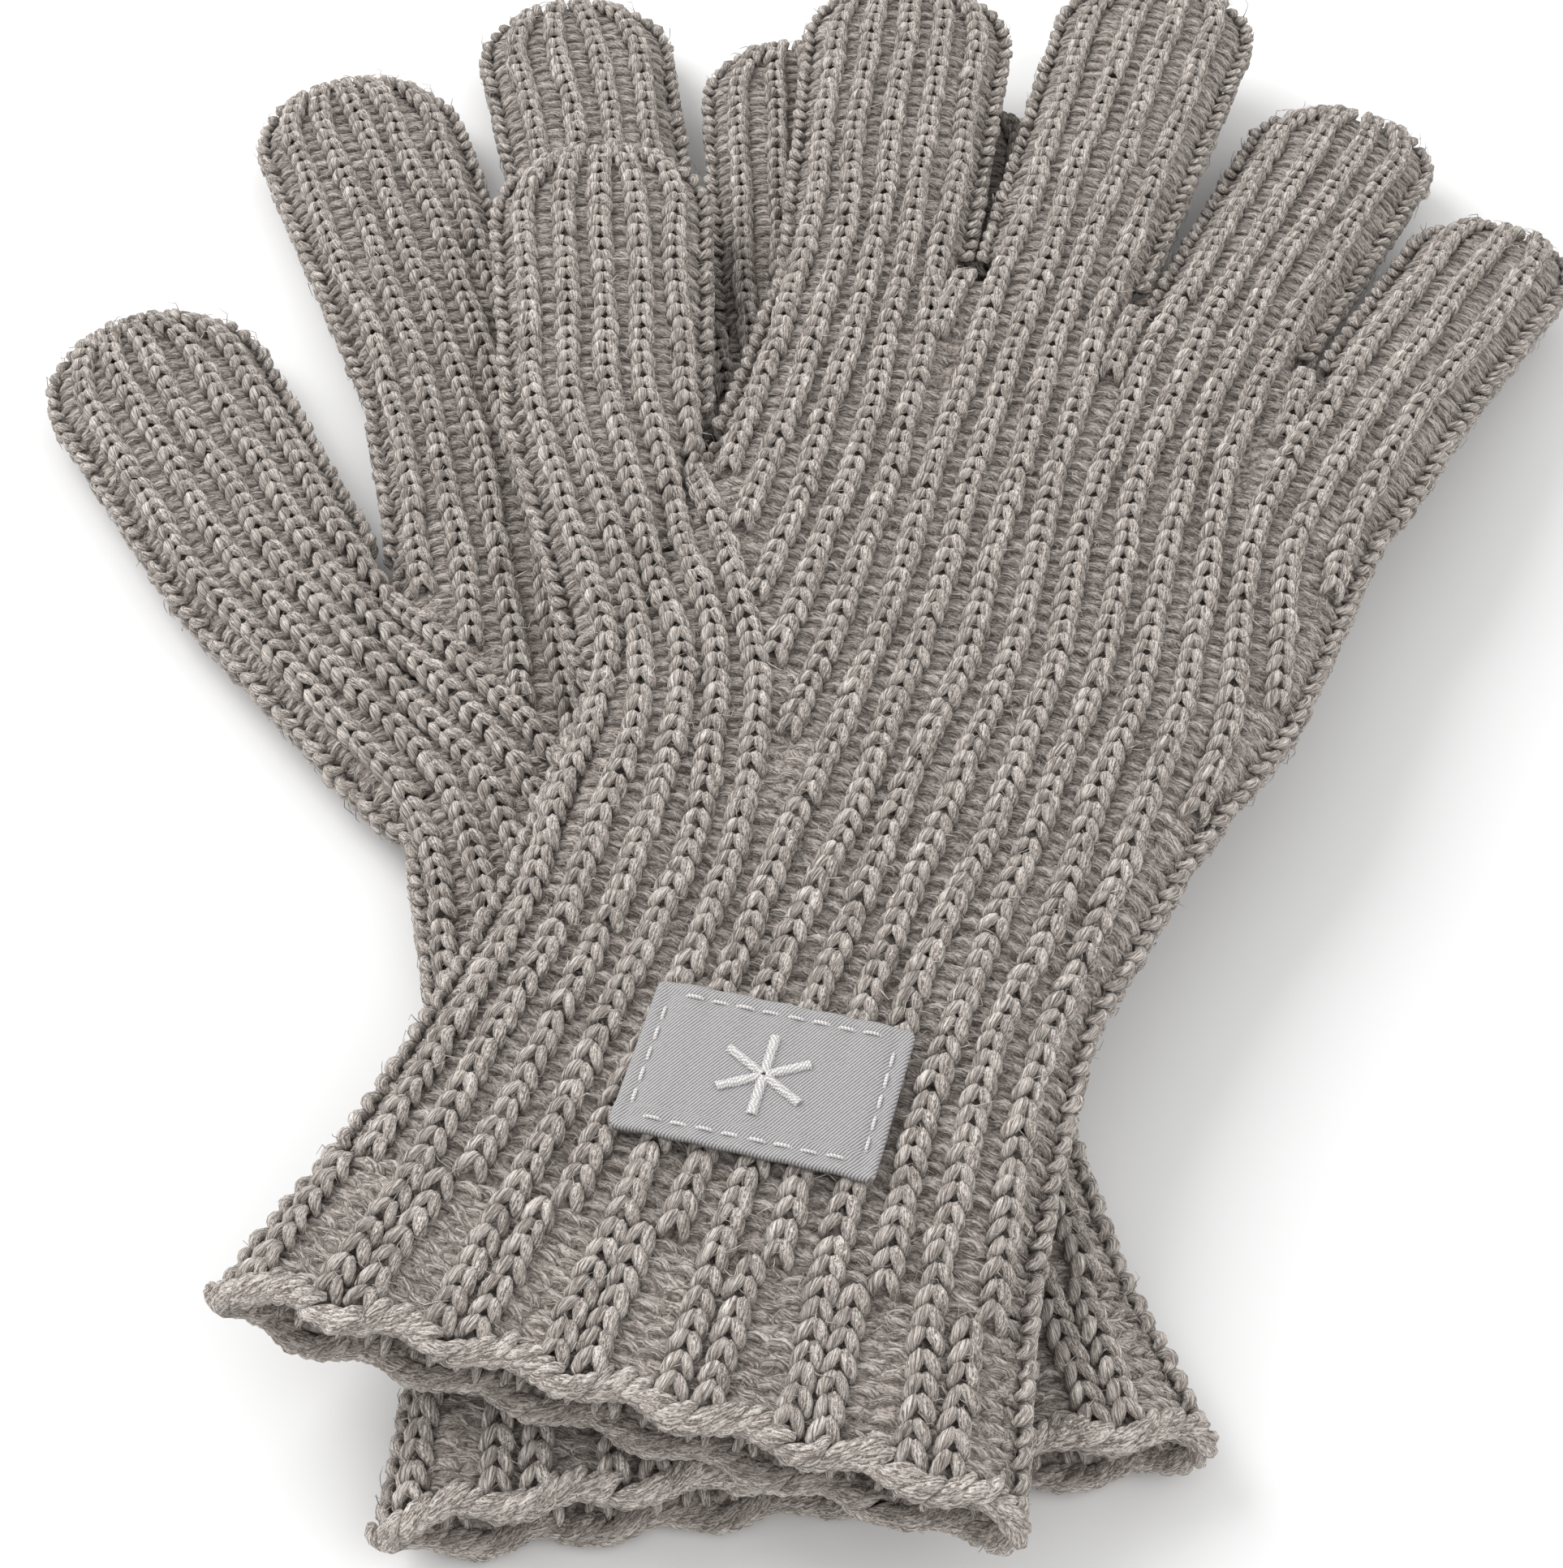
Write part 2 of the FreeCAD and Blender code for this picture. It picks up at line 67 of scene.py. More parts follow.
# ---- sizes of the knitting
COURSE = 2.2  # height of one row of stitches
PATH_STEP = 0.3  # between the points of a curve
COLUMN_SCALE = 0.8  # width of a stitch against the strand patterns below
BAR_REACH = 1.75  # from the middle of a gutter to the ends of its bars
NARROW_BAR_REACH = 1.2  # the same between the two columns of a pair
HALF_HEIGHT = 3.4  # of the surface the stitches stand on; their crests stand 1.4 above it
RIM_REACH = 8.0  # how far in from the outline the surface is still rounded
OUTLINE_INSET = 1.3  # from the outline in to the line that the rim's stitches follow
BASE_DEPTH = 0.65  # of the closed fabric under the stitches
WALL = 1.1  # thickness of that fabric at the cuff
LINING_END = 62.0  # how far up the hollow sleeve goes

# ---- plan of a glove
# The sides of the trunk are (y, x) points, and its top, where the fingers part, is (x, y) points.
LEFT_SIDE = [
    (-40, -38), (0, -37.5), (4, -36.8), (18, -33.5), (35, -31.6), (52, -30.7), (78, -32), (131.6, -33),
    (157.6, -35.2), (240, -42),
]
RIGHT_SIDE = [
    (-40, 38), (0, 37.5), (4, 36.8), (18, 33.5), (35, 31.6), (52, 30.7), (78, 35.5), (97, 41.6),
    (128, 44.7), (152.8, 50.4), (240, 70),
]
TOP_SIDE = [(-60, 150), (-33, 151), (-11.9, 160.5), (9.4, 159.5), (30.8, 154.5), (50, 147), (80, 147)]
TOP_ROUNDING = 4.0
FINGER_ROUNDING = 1.5  # in the corner between a finger and the trunk
THUMB_ROUNDING = 3.0

SLEEVE_COLUMNS = 14  # gaps between columns across one face of the sleeve
PALM_COLUMNS = 17  # and of the palm, just below the fingers
WIDENS = (55.0, 130.0)  # heights between which the one number turns into the other
THUMB_COLUMNS = 6
THUMB_SHARE = 5.5  # sleeve columns that turn into the thumb
THUMB_WIDENS = 0.08  # columns that the thumb's share gains from each of its stations to the next
CUFF_RIB = 16.5  # the rib changes from 1x1 to 2x2 below this height
FINGER_ZONE = 140.0  # above this height the palm's rim no longer cuts a curve off
CROTCHES = {5.5: (-11.9, 160.0), 9.5: (9.4, 159.0), 13.5: (30.8, 154.0)}  # by the gutter that ends there
CROTCH_STEPS = (-15, -7, 2)  # from a crotch to the ends and the middle of the short column below it
CROTCH_GUTTER = 2.5  # from that column to the gutters beside it
RIM_GUTTER = 0.5  # from the palm's right rim to the gutter beside it, in columns
SEAM = ((-11.6, 85.0), (-31.4, 123.0))  # thumb ribs on its left, palm ribs on its right
SEAM_GUTTER = 22.0  # how far below the seam's foot the gutter beside it starts
THUMB_GUSSET = ((-30.9, 85.9), 5.5)  # the middle and radius of its lower end
ROOT_LENGTH = 18.0  # of a finger inside the palm
SLEEVE_HEIGHTS = [1.8, 7, 14, 24, 36, 48]  # where the curves have their stations
PALM_HEIGHTS = [58, 70, 82, 94, 106, 118]
LITTLE_HEIGHTS = [127, 136]  # beside the root of the little finger
# Plan points from the wrist to the thumb: the two edges of its band of ribs, and the rim beside them.
THUMB_LEFT = [(-31.1, 60), (-31.4, 72), (-34.4, 84), (-43.1, 98.5), (-50.2, 109.8)]
THUMB_RIGHT = [(-6.6, 60), (-8.3, 72), (-11.6, 85), (-20.0, 101), (-27.8, 114.6)]
THUMB_RIM = [(-30.4, 58), (-30.9, 70), (-33.8, 82), (-43.4, 98.5), (-50.8, 110.5)]
INDEX_RIM = [(-31.8, 124.5), (-32.0, 130), (-32.4, 138), (-33.2, 147)]  # from the thumb to the index finger


class Finger:
    """A finger's plan: the middle of its fold line, its lean, two widths and its length."""

    def __init__(self, name, fold, lean, root, tip, length, columns, first, droop=0.0):
        self.name = name
        self.fold = np.array(fold, float)
        angle = math.radians(lean)
        self.along = np.array([math.sin(angle), math.cos(angle)])
        self.across = np.array([math.cos(angle), -math.sin(angle)])
        self.root = root / 2
        self.tip = tip / 2
        self.cap = length - self.tip
        self.columns = columns  # gaps between columns across one face
        self.first = first  # palm column that the finger's left edge carries on
        self.droop = math.tan(math.radians(droop))

    def radius(self, v):
        share = np.clip((v + ROOT_LENGTH) / (self.cap + ROOT_LENGTH), 0, 1)
        return self.root + (self.tip - self.root) * share

    def at(self, u, v):
        """Plan point u across and v along the finger from the middle of its fold line."""
        return self.fold + np.multiply.outer(u, self.across) + np.multiply.outer(v, self.along)

    def where(self, points):
        """How far along the finger, past its fold line, the points are."""
        return (points[:, :2] - self.fold) @ self.along


FINGERS = {
    f.name: f
    for f in (
        Finger("thumb", (-45.5, 123.1), -21.5, 25, 28, 50.4, THUMB_COLUMNS, None),
        Finger("index_finger", (-23.9, 159.8), -11.6, 23, 28, 59.9, 6, 0),
        Finger("middle_finger", (-1.2, 163.0), -1.8, 20.4, 27, 71, 5, 5, 2.5),
        Finger("ring_finger", (20.2, 158.0), 6.2, 20.6, 25, 62.4, 5, 9, 8.5),
        Finger("little_finger", (41.0, 154.4), 10.9, 18.8, 21.4, 47.5, 4, 13, 11.0),
    )
}


# ---- smooth plan functions
def side_curve(points, window=12.0):
    """A smooth x(y) through the points of one side of the glove."""
    at = np.arange(points[0][0], points[-1][0] + 0.5, 0.5)
    value = np.interp(at, *zip(*points))
    span = int(window / 0.5) | 1
    kernel = np.hanning(span + 2)[1:-1]
    padded = np.pad(value, span // 2, mode="reflect", reflect_type="odd")
    smooth = np.convolve(padded, kernel / kernel.sum(), "valid")
    slope = np.gradient(smooth, at)
    return lambda y: (np.interp(y, at, smooth), 1 / np.sqrt(1 + np.interp(y, at, slope) ** 2))


left_side = side_curve(LEFT_SIDE)
right_side = side_curve(RIGHT_SIDE)
top_side = side_curve(TOP_SIDE)


def unit(vectors):
    return vectors / np.maximum(np.linalg.norm(vectors, axis=1), 1e-6)[:, None]


def run_along(points):
    """How far along the line through them the points are."""
    return np.concatenate([[0], np.cumsum(np.linalg.norm(np.diff(points, axis=0), axis=1))])


def smooth_max(a, b, width):
    return np.maximum(a, b) + np.maximum(width - np.abs(a - b), 0) ** 2 / (4 * width)


def smooth_step(t):
    t = np.clip(t, 0, 1)
    return t * t * (3 - 2 * t)


def trunk_depth(p):
    left, left_cosine = left_side(p[:, 1])
    right, right_cosine = right_side(p[:, 1])
    top, top_cosine = top_side(p[:, 0])
    sides = np.minimum((p[:, 0] - left) * left_cosine, (right - p[:, 0]) * right_cosine)
    return -smooth_max(-sides, -(top - p[:, 1]) * top_cosine, TOP_ROUNDING)


def capsule_depth(p, start, end, start_radius, end_radius):
    axis = np.subtract(end, start)
    share = np.clip((p - start) @ axis / (axis @ axis), 0, 1)
    nearest = start + share[:, None] * axis
    return start_radius + (end_radius - start_radius) * share - np.linalg.norm(p - nearest, axis=1)


def finger_depth(p, finger):
    tip = finger.at(0.0, finger.cap)
    if finger.name == "thumb":
        root, root_radius = np.array(THUMB_GUSSET[0]), THUMB_GUSSET[1]
        gusset = capsule_depth(p, root, finger.fold, root_radius, finger.root)
        return np.maximum(gusset, capsule_depth(p, finger.fold, tip, finger.root, finger.tip))
    return capsule_depth(p, finger.at(0.0, -ROOT_LENGTH), tip, finger.root, finger.tip)


def depth(p, finger=None, trunk=True):
    """How far the plan points lie inside the outline of the trunk and of one finger."""
    if finger is None:
        return trunk_depth(p)
    own = finger_depth(p, finger)
    if not trunk:
        return own
    rounding = THUMB_ROUNDING if finger.name == "thumb" else FINGER_ROUNDING
    return smooth_max(trunk_depth(p), own, rounding)


def depth_and_slope(p, finger, trunk=True, step=0.05):
    here = depth(p, finger, trunk) - OUTLINE_INSET
    slope = np.empty_like(p)
    for axis in (0, 1):
        shift = np.zeros(2)
        shift[axis] = step
        slope[:, axis] = (depth(p + shift, finger, trunk) - depth(p - shift, finger, trunk)) / (2 * step)
    return here, slope


def lift(p, side, finger, trunk=True, half_height=HALF_HEIGHT):
    """The plan points on the fabric's surface, and its normals. side is 1 above, -1 below, 0 on the rim."""
    p = np.array(p, float)
    for _ in range(4 if side == 0 else 2):
        here, slope = depth_and_slope(p, finger, trunk)
        size = np.maximum((slope**2).sum(1), 0.3)
        push = here if side == 0 else np.minimum(here - 0.02, 0)
        p -= (push / size)[:, None] * slope
    here, slope = depth_and_slope(p, finger, trunk)
    inward = np.clip(1 - here / RIM_REACH, 0, 1) if side else np.ones(len(p))
    z = side * half_height * np.sqrt(np.maximum(1 - inward**2, 0))
    normal = np.column_stack([-slope * (inward / RIM_REACH)[:, None], z / half_height**2])
    return np.column_stack([p, z]), unit(normal)


# ---- evenly spread columns
def rim_lengths(angles):
    """How long the rounded rim's quarter ellipse is from its edge up to each angle."""
    speed = np.hypot(RIM_REACH * np.sin(angles), HALF_HEIGHT * np.cos(angles))
    return np.concatenate([[0], np.cumsum((speed[1:] + speed[:-1]) / 2 * np.diff(angles))])


RIM_ANGLES = np.linspace(0, math.pi / 2, 200)
RIM_LENGTHS = rim_lengths(RIM_ANGLES)
RIM_ARC = RIM_LENGTHS[-1]


def spread(share, width, right_rim=1.0):
    """Plan distance from the left edge of a point at this share of the way over a flattened tube.

    right_rim is 1 where the right edge is rounded too, and 0 where the fabric goes on flat beyond it.
    """
    reach = np.minimum(RIM_REACH, width / 2)
    rim = RIM_ARC * reach / RIM_REACH
    right_arc = reach + (rim - reach) * right_rim
    total = rim + right_arc + width - 2 * reach
    at = share * total

    def rounded(arc):
        return reach * (1 - np.cos(np.interp(arc / rim, RIM_LENGTHS / RIM_ARC, RIM_ANGLES)))

    left = np.where(at < rim, rounded(np.minimum(at, rim)), reach + at - rim)
    from_right = total - at
    curved = rounded(np.clip(from_right, 0, rim))
    right = width - (from_right + (curved - from_right) * right_rim)
    return np.where(from_right < right_arc, right, left)


def gaps_at(y):
    """Gaps between columns across one face of the trunk at this height."""
    share = smooth_step((y - WIDENS[0]) / (WIDENS[1] - WIDENS[0]))
    return 1 / ((1 - share) / SLEEVE_COLUMNS + share / PALM_COLUMNS)


def trunk_point(column, y):
    """Plan point of a column at a height, held between the two rims."""
    left = left_side(y)[0] + OUTLINE_INSET
    right = right_side(y)[0] - OUTLINE_INSET
    return np.array([left + spread(np.clip(column / gaps_at(y), 0, 1), right - left), y])


def finger_point(finger, column, v):
    """Plan point of a finger's column at v past the fold; columns gather a little over the tip."""
    width = finger.radius(v) - OUTLINE_INSET
    u = spread(np.array(column / finger.columns), 2 * width) - width
    gather = 1 - 0.45 * smooth_step((v - finger.cap) / finger.tip)
    return finger.at(u * gather, v)


def curve_through(stations):
    """A smooth plan curve through the stations, in small even steps."""
    stations = np.array(stations, float)
    length = run_along(stations)
    tangent = np.gradient(stations, length, axis=0)
    at = np.arange(0, length[-1], PATH_STEP)
    k = np.clip(np.searchsorted(length, at, "right") - 1, 0, len(length) - 2)
    span = (length[k + 1] - length[k])[:, None]
    t = ((at - length[k]) / span[:, 0])[:, None]
    return (
        (2 * t**3 - 3 * t**2 + 1) * stations[k]
        + (t**3 - 2 * t**2 + t) * span * tangent[k]
        + (3 * t**2 - 2 * t**3) * stations[k + 1]
        + (t**3 - t**2) * span * tangent[k + 1]
    )


def finger_stations(finger, column, first=9.0):
    """Along the straight of a finger and over its tip."""
    straight = list(np.linspace(first, finger.cap, 7))
    over = [finger.cap + finger.tip * share for share in (0.3, 0.6, 0.85, 1.0)]
    return [finger_point(finger, column, v) for v in straight + over]


def rim_stations(finger, side, first):
    """Along one edge of a finger and part of the way round its tip."""
    column = 0 if side < 0 else finger.columns
    straight = [finger_point(finger, column, v) for v in np.linspace(first, finger.cap, 7)]
    reach = finger.tip - OUTLINE_INSET
    for turn in np.radians((15, 30, 45, 56)):
        straight.append(finger.at(side * reach * math.cos(turn), finger.cap + reach * math.sin(turn)))
    return straight


def thumb_stations(column):
    """From the sleeve through the gusset: a band between its left edge and the seam."""
    stations = [trunk_point(column, y) for y in SLEEVE_HEIGHTS]
    for k, (left, right) in enumerate(zip(np.array(THUMB_LEFT), np.array(THUMB_RIGHT))):
        width = np.linalg.norm(right - left)
        share = column / (THUMB_SHARE + THUMB_WIDENS * k)
        stations.append(left + (right - left) / width * spread(share, width, right_rim=0.0))
    return stations + finger_stations(FINGERS["thumb"], column, 4.0)


# ---- curves of one glove
# One knit column, or one gutter between two: its plan, and the finger and face that it lies on.
Curve = namedtuple("Curve", "kind plan finger side")


def kind_of(column):
    """Columns have whole numbers, and the gutters are half-way between them."""
    return "column" if column % 1 == 0 else "gutter"


def wander(plan, size=0.24):
    """The curve moved a little to its left and right, as columns of knitting are."""
    along = np.arange(len(plan)) * PATH_STEP
    shift = np.zeros(len(plan))
    for wavelength in (31.0, 47.0, 73.0):
        shift += size * 0.6 * np.sin(along * 2 * math.pi / wavelength + rng.uniform(0, 2 * math.pi))
    tangent = unit(np.gradient(plan, axis=0))
    return plan + shift[:, None] * np.column_stack([tangent[:, 1], -tangent[:, 0]])


def above_cuff(column, plan):
    """In the 2x2 rib only the even columns carry on down to the edge."""
    if column % 2 == 0:
        return np.ones(len(plan), bool)
    return plan[:, 1] > CUFF_RIB + (0.8 if column % 1 == 0 else 0.2)


def right_of_seam(plan):
    (x0, y0), (x1, y1) = SEAM
    seam_x = x0 + (plan[:, 1] - y0) * (x1 - x0) / (y1 - y0)
    return (plan[:, 0] > seam_x - 0.6) | (plan[:, 1] > y1 + 4)


def inside_palm(plan, column):
    """Where the palm has room for this column or gutter beside its right edge."""
    room = 0.72 if kind_of(column) == "column" else 0.38
    return column < gaps_at(plan[:, 1]) - room


def palm_curve(column, above, finger, side):
    """A column or gutter that runs up the palm and on through the stations above it."""
    starts_at_seam = column < THUMB_SHARE
    heights = PALM_HEIGHTS if starts_at_seam else SLEEVE_HEIGHTS + PALM_HEIGHTS
    plan = wander(curve_through([trunk_point(column, y) for y in heights] + above))
    keep = above_cuff(column, plan)
    if starts_at_seam:
        keep &= right_of_seam(plan)
    if column > SLEEVE_COLUMNS - 1:
        keep &= inside_palm(plan, column) | (plan[:, 1] > FINGER_ZONE)
    return Curve(kind_of(column), plan[keep], finger, side)


def thumb_curves(side):
    """From the cuff to the thumb's tip, and last a gutter that keeps beside the seam."""
    curves = []
    for column in np.arange(0.5, THUMB_COLUMNS, 0.5):
        if column < THUMB_SHARE:
            plan = wander(curve_through(thumb_stations(column)))
            plan = plan[above_cuff(column, plan)]
        else:
            plan = curve_through(thumb_stations(THUMB_SHARE - 0.1))
            plan = plan[plan[:, 1] > SEAM[0][1] - SEAM_GUTTER]
        curves.append(Curve(kind_of(column), plan, FINGERS["thumb"], side))
    return curves


def finger_curves(finger, side):
    """The curves that come up the palm, and those at the finger's sides that start at a crotch."""
    lowest = 0 if finger.name == "index_finger" else 1
    highest = finger.columns if finger.name == "little_finger" else finger.columns - 1
    curves = []
    for step in np.arange(0.5, finger.columns, 0.5):
        if lowest <= step <= highest:
            curves.append(palm_curve(finger.first + step, finger_stations(finger, step), finger, side))
        else:
            plan = curve_through(finger_stations(finger, step, 1.0))
            curves.append(Curve(kind_of(step), plan, finger, side))
    return curves


def crotch_curves(gutter, crotch, side):
    """The palm's gutter that ends below a crotch, and a short column with a gutter on each side of it."""
    low, middle, high = (np.add(crotch, (0, step)) for step in CROTCH_STEPS)
    curves = [palm_curve(gutter, [low], None, side)]
    curves.append(Curve("column", curve_through([low, middle, high]), None, side))
    for beside in (-CROTCH_GUTTER, CROTCH_GUTTER):
        stations = [low + (beside / 2, 0), middle + (beside, 0), high + (beside, -1)]
        curves.append(Curve("gutter", curve_through(stations), None, side))
    return curves


def glove_curves(side):
    """All columns and gutters of one face of a glove, apart from the 2x2 rib."""
    curves = thumb_curves(side)
    for finger in list(FINGERS.values())[1:]:
        curves += finger_curves(finger, side)
    beside_rim = [trunk_point(gaps_at(y) - RIM_GUTTER, y) for y in PALM_HEIGHTS + LITTLE_HEIGHTS]
    curves.append(Curve("gutter", curve_through(beside_rim), None, side))
    for gutter, crotch in CROTCHES.items():
        curves += crotch_curves(gutter, crotch, side)
    return curves


def rim_curves():
    """The columns that run along the outline."""
    thumb, index, middle, ring, little = FINGERS.values()
    left_edge = [trunk_point(0, y) for y in SLEEVE_HEIGHTS]
    right_edge = [trunk_point(PALM_COLUMNS, y) for y in SLEEVE_HEIGHTS + PALM_HEIGHTS]
    runs = [
        (left_edge + THUMB_RIM + rim_stations(thumb, -1, 4.0), thumb),
        (right_edge + rim_stations(little, 1, 6.0), little),
        (INDEX_RIM + rim_stations(index, -1, 6.0), index),
        (rim_stations(thumb, 1, -1.0), thumb),
    ]
    runs += [(rim_stations(finger, 1, 1.0), finger) for finger in (index, middle, ring)]
    runs += [(rim_stations(finger, -1, 1.0), finger) for finger in (middle, ring, little)]
    return [Curve("column", curve_through(stations), finger, 0) for stations, finger in runs]


# ---- strands
class Strand:
    """A short piece of yarn as a closed tube, in (across, along, out) of a column."""

    def __init__(self, spine, radii, sides, flat=1.0):
        spine, radii = np.array(spine, float), np.array(radii, float)[:, None]
        tangent = unit(np.gradient(spine, axis=0))
        out = unit(np.array([0.0, 0.0, 1.0]) - tangent * tangent[:, 2:3])
        beside = np.cross(tangent, out)
        turn = np.arange(sides) * 2 * math.pi / sides
        ring = np.cos(turn)[None, :, None] * beside[:, None]
        ring = ring + flat * np.sin(turn)[None, :, None] * out[:, None]
        self.offset = (ring * radii[:, None]).reshape(-1, 3)
        self.spine = np.repeat(spine, sides, axis=0)
        run = run_along(spine)[:, None]
        twist = turn[None] + 0.9 * run
        lengthways = np.repeat(run, sides, 1)
        self.fibre = np.stack([lengthways, np.cos(twist) * radii, np.sin(twist) * radii], -1).reshape(-1, 3)
        self.faces = []
        self.cells = []  # the same corners on a unit square, for the strand's own part of the texture
        self.add_sides(len(spine), sides)
        self.add_ends(len(spine), sides, turn)

    def add_sides(self, rings, sides):
        for k in range(rings - 1):
            low, high = (0.12 + 0.8 * ring / (rings - 1) for ring in (k, k + 1))
            for s in range(sides):
                n = (s + 1) % sides
                self.faces.append([k * sides + s, k * sides + n, (k + 1) * sides + n, (k + 1) * sides + s])
                a, b = (0.06 + 0.88 * side / sides for side in (s, s + 1))
                self.cells.append([(a, low), (b, low), (b, high), (a, high)])

    def add_ends(self, rings, sides, turn):
        for base, middle in ((0, 0.25), ((rings - 1) * sides, 0.75)):
            order = range(sides) if base else range(sides - 1, -1, -1)
            around = [(0.05 * math.cos(turn[s]), 0.04 * math.sin(turn[s])) for s in order]
            self.faces.append([base + s for s in order])
            self.cells.append([(middle + across, 0.05 + along) for across, along in around])

    def mirrored(self):
        other = object.__new__(Strand)
        flip = np.array([-1.0, 1.0, 1.0])
        other.offset, other.spine, other.fibre = self.offset * flip, self.spine * flip, self.fibre
        other.faces = [f[::-1] for f in self.faces]
        other.cells = [c[::-1] for c in self.cells]
        return other


def even_strand(points, radii, sides):
    """A strand whose second half mirrors its first; the last of these points is its middle."""
    back = [(-x, y, z) for x, y, z in points[-2::-1]]
    return Strand(points + back, radii + radii[-2::-1], sides)


RIGHT_LEG = Strand(
    [(0.12, 1.2, -0.15), (0.36, 0.72, 0.42), (0.74, 0.12, 0.72), (1.12, -0.48, 0.68), (1.38, -1.02, 0.22),
     (1.3, -1.42, -0.5)],
    [0.56, 0.72, 0.78, 0.76, 0.64, 0.38], 6, flat=0.84)
LEFT_LEG = RIGHT_LEG.mirrored()
RAISED_BAR = even_strand([(-1.0, -0.4, -1.1), (-0.55, 0.1, -0.86), (0.0, 0.32, -0.78)], [0.5, 0.66, 0.7], 6)
SUNK_BAR = even_strand([(-1.0, 0.35, -1.1), (-0.55, -0.1, -0.92), (0.0, -0.25, -0.86)], [0.5, 0.64, 0.68], 6)


def wrap_strand(turn_from, turn_to, ring, radius, advance, rings=9):
    """A strand of the cast-on edge, wound round it: across is along the edge, along is up the fabric."""
    turns = np.radians(np.linspace(turn_from, turn_to, rings))
    spine = [(advance * t, -ring * math.cos(t), ring * math.sin(t)) for t in turns]
    radii = radius * np.array([0.6, 0.9] + [1.0] * (rings - 4) + [0.9, 0.6])
    return Strand(spine, radii, 6)


class Yarn:
    """Strands of one piece, which become one mesh."""

    def __init__(self):
        self.parts = []

    def add(self, strand, origins, frames, scale, wide=None):
        """Frames have the across, along and out directions as rows; wide stretches the spine across."""
        count = len(origins)
        if not count:
            return
        spine = np.repeat(strand.spine[None], count, 0)
        if wide is not None:
            spine[:, :, 0] *= wide[:, None]
        local = (spine + strand.offset * rng.normal(1, 0.06, (count, 1, 1))) * scale[:, None, :]
        points = origins[:, None] + np.einsum("nmk,nkc->nmc", local, frames)
        fibre = np.repeat(strand.fibre[None], count, 0)
        fibre[:, :, 0] += rng.uniform(0, 4000, (count, 1))
        # each point's height out of its column, kept to paint shade into the yarn where the strands lie low
        relief = np.clip(local[:, :, 2], -1.6, 1.6)
        self.parts.append((strand, points, fibre, relief))

    def mesh(self, name, place):
        points, fibre, relief = (
            np.concatenate([values for part in self.parts for values in part[k]]) for k in (1, 2, 3)
        )
        grid = math.ceil(math.sqrt(sum(len(part[1]) for part in self.parts)))
        loops, starts, texture = [], [], []
        base = loop_base = done = 0
        for strand, places, _, _ in self.parts:
            count, size = places.shape[:2]
            each = np.arange(count)[:, None]
            corners = np.concatenate(strand.faces)
            first = np.cumsum([0] + [len(face) for face in strand.faces[:-1]])
            loops.append((base + each * size + corners).ravel())
            starts.append((loop_base + each * len(corners) + first).ravel())
            square = np.stack([(done + each) % grid, (done + each) // grid], -1)
            texture.append(((square + np.concatenate(strand.cells)) / grid).reshape(-1, 2))
            base += count * size
            loop_base += count * len(corners)
            done += count
        loops, starts, texture = (np.concatenate(values) for values in (loops, starts, texture))
        piece = make_mesh(name, place(points), loops, starts, fibre, texture)
        # the heights for the painted shade, as a point attribute
        fill(piece.data.attributes.new("relief", "FLOAT", "POINT").data, "value", relief)
        return piece


def link(obj):
    bpy.context.scene.collection.objects.link(obj)
    return obj


def fill(data, key, values, kind=np.float32):
    data.foreach_set(key, values.astype(kind).ravel())


def make_mesh(name, points, loops, starts, fibre=None, texture=None):
    mesh = bpy.data.meshes.new(name)
    mesh.vertices.add(len(points))
    fill(mesh.vertices, "co", points * MM)
    mesh.loops.add(len(loops))
    fill(mesh.loops, "vertex_index", loops, np.int32)
    mesh.polygons.add(len(starts))
    fill(mesh.polygons, "loop_start", starts, np.int32)
    mesh.update(calc_edges=True)
    mesh.validate()
    fill(mesh.polygons, "use_smooth", np.ones(len(mesh.polygons)), bool)
    if fibre is not None:
        fill(mesh.attributes.new("fibre", "FLOAT_VECTOR", "POINT").data, "vector", fibre)
    if texture is not None:
        fill(mesh.uv_layers.new(name="OFBake").data, "uv", texture)
    return link(bpy.data.objects.new(name, mesh))


# ---- stitches on a curve
def rows(points, normals, pitch, offset=0.0):
    """Origins and frames every pitch along a curve on the surface."""
    run = run_along(points)

    def sampled(values, at):
        return np.column_stack([np.interp(at, run, values[:, k]) for k in range(3)])

    at = np.arange(offset, run[-1], pitch)
    at = at + rng.normal(0, 0.04 * pitch, len(at))
    along = unit(sampled(points, at + 1.2) - sampled(points, at - 1.2))
    out = sampled(normals, at)
    out = unit(out - along * (along * out).sum(1)[:, None])
    return sampled(points, at), np.stack([np.cross(along, out), along, out], 1)


def turned(frames, angles, first=0, second=1):
    """The frames, each with its first direction turned toward its second one."""
    cosine, sine = np.cos(angles)[:, None], np.sin(angles)[:, None]
    result = frames.copy()
    result[:, first] = frames[:, first] * cosine + frames[:, second] * sine
    result[:, second] = frames[:, second] * cosine - frames[:, first] * sine
    return result


def leaning(frames, degrees):
    """The frames, each turned a little about its outward direction and then about the way along."""
    for second in (1, 2):
        frames = turned(frames, np.radians(rng.normal(0, degrees, len(frames))), 0, second)
    return frames


def loose_fibre(seed):
    """A fine stray fibre that leaves the yarn and curls back."""
    bend = np.random.default_rng(seed).uniform(-0.7, 0.7, 3)
    spine = [(0, 0, -0.12), (0.25 * bend[0], 0.7, 0.2), (0.9 * bend[1], 1.5, 0.34 + 0.12 * bend[2]),
             (1.4 * bend[2] + 0.5 * bend[0], 2.2, 0.12)]
    return Strand(spine, np.array([0.06, 0.055, 0.045, 0.025]), 3)


LOOSE_FIBRES = [loose_fibre(seed) for seed in range(6)]


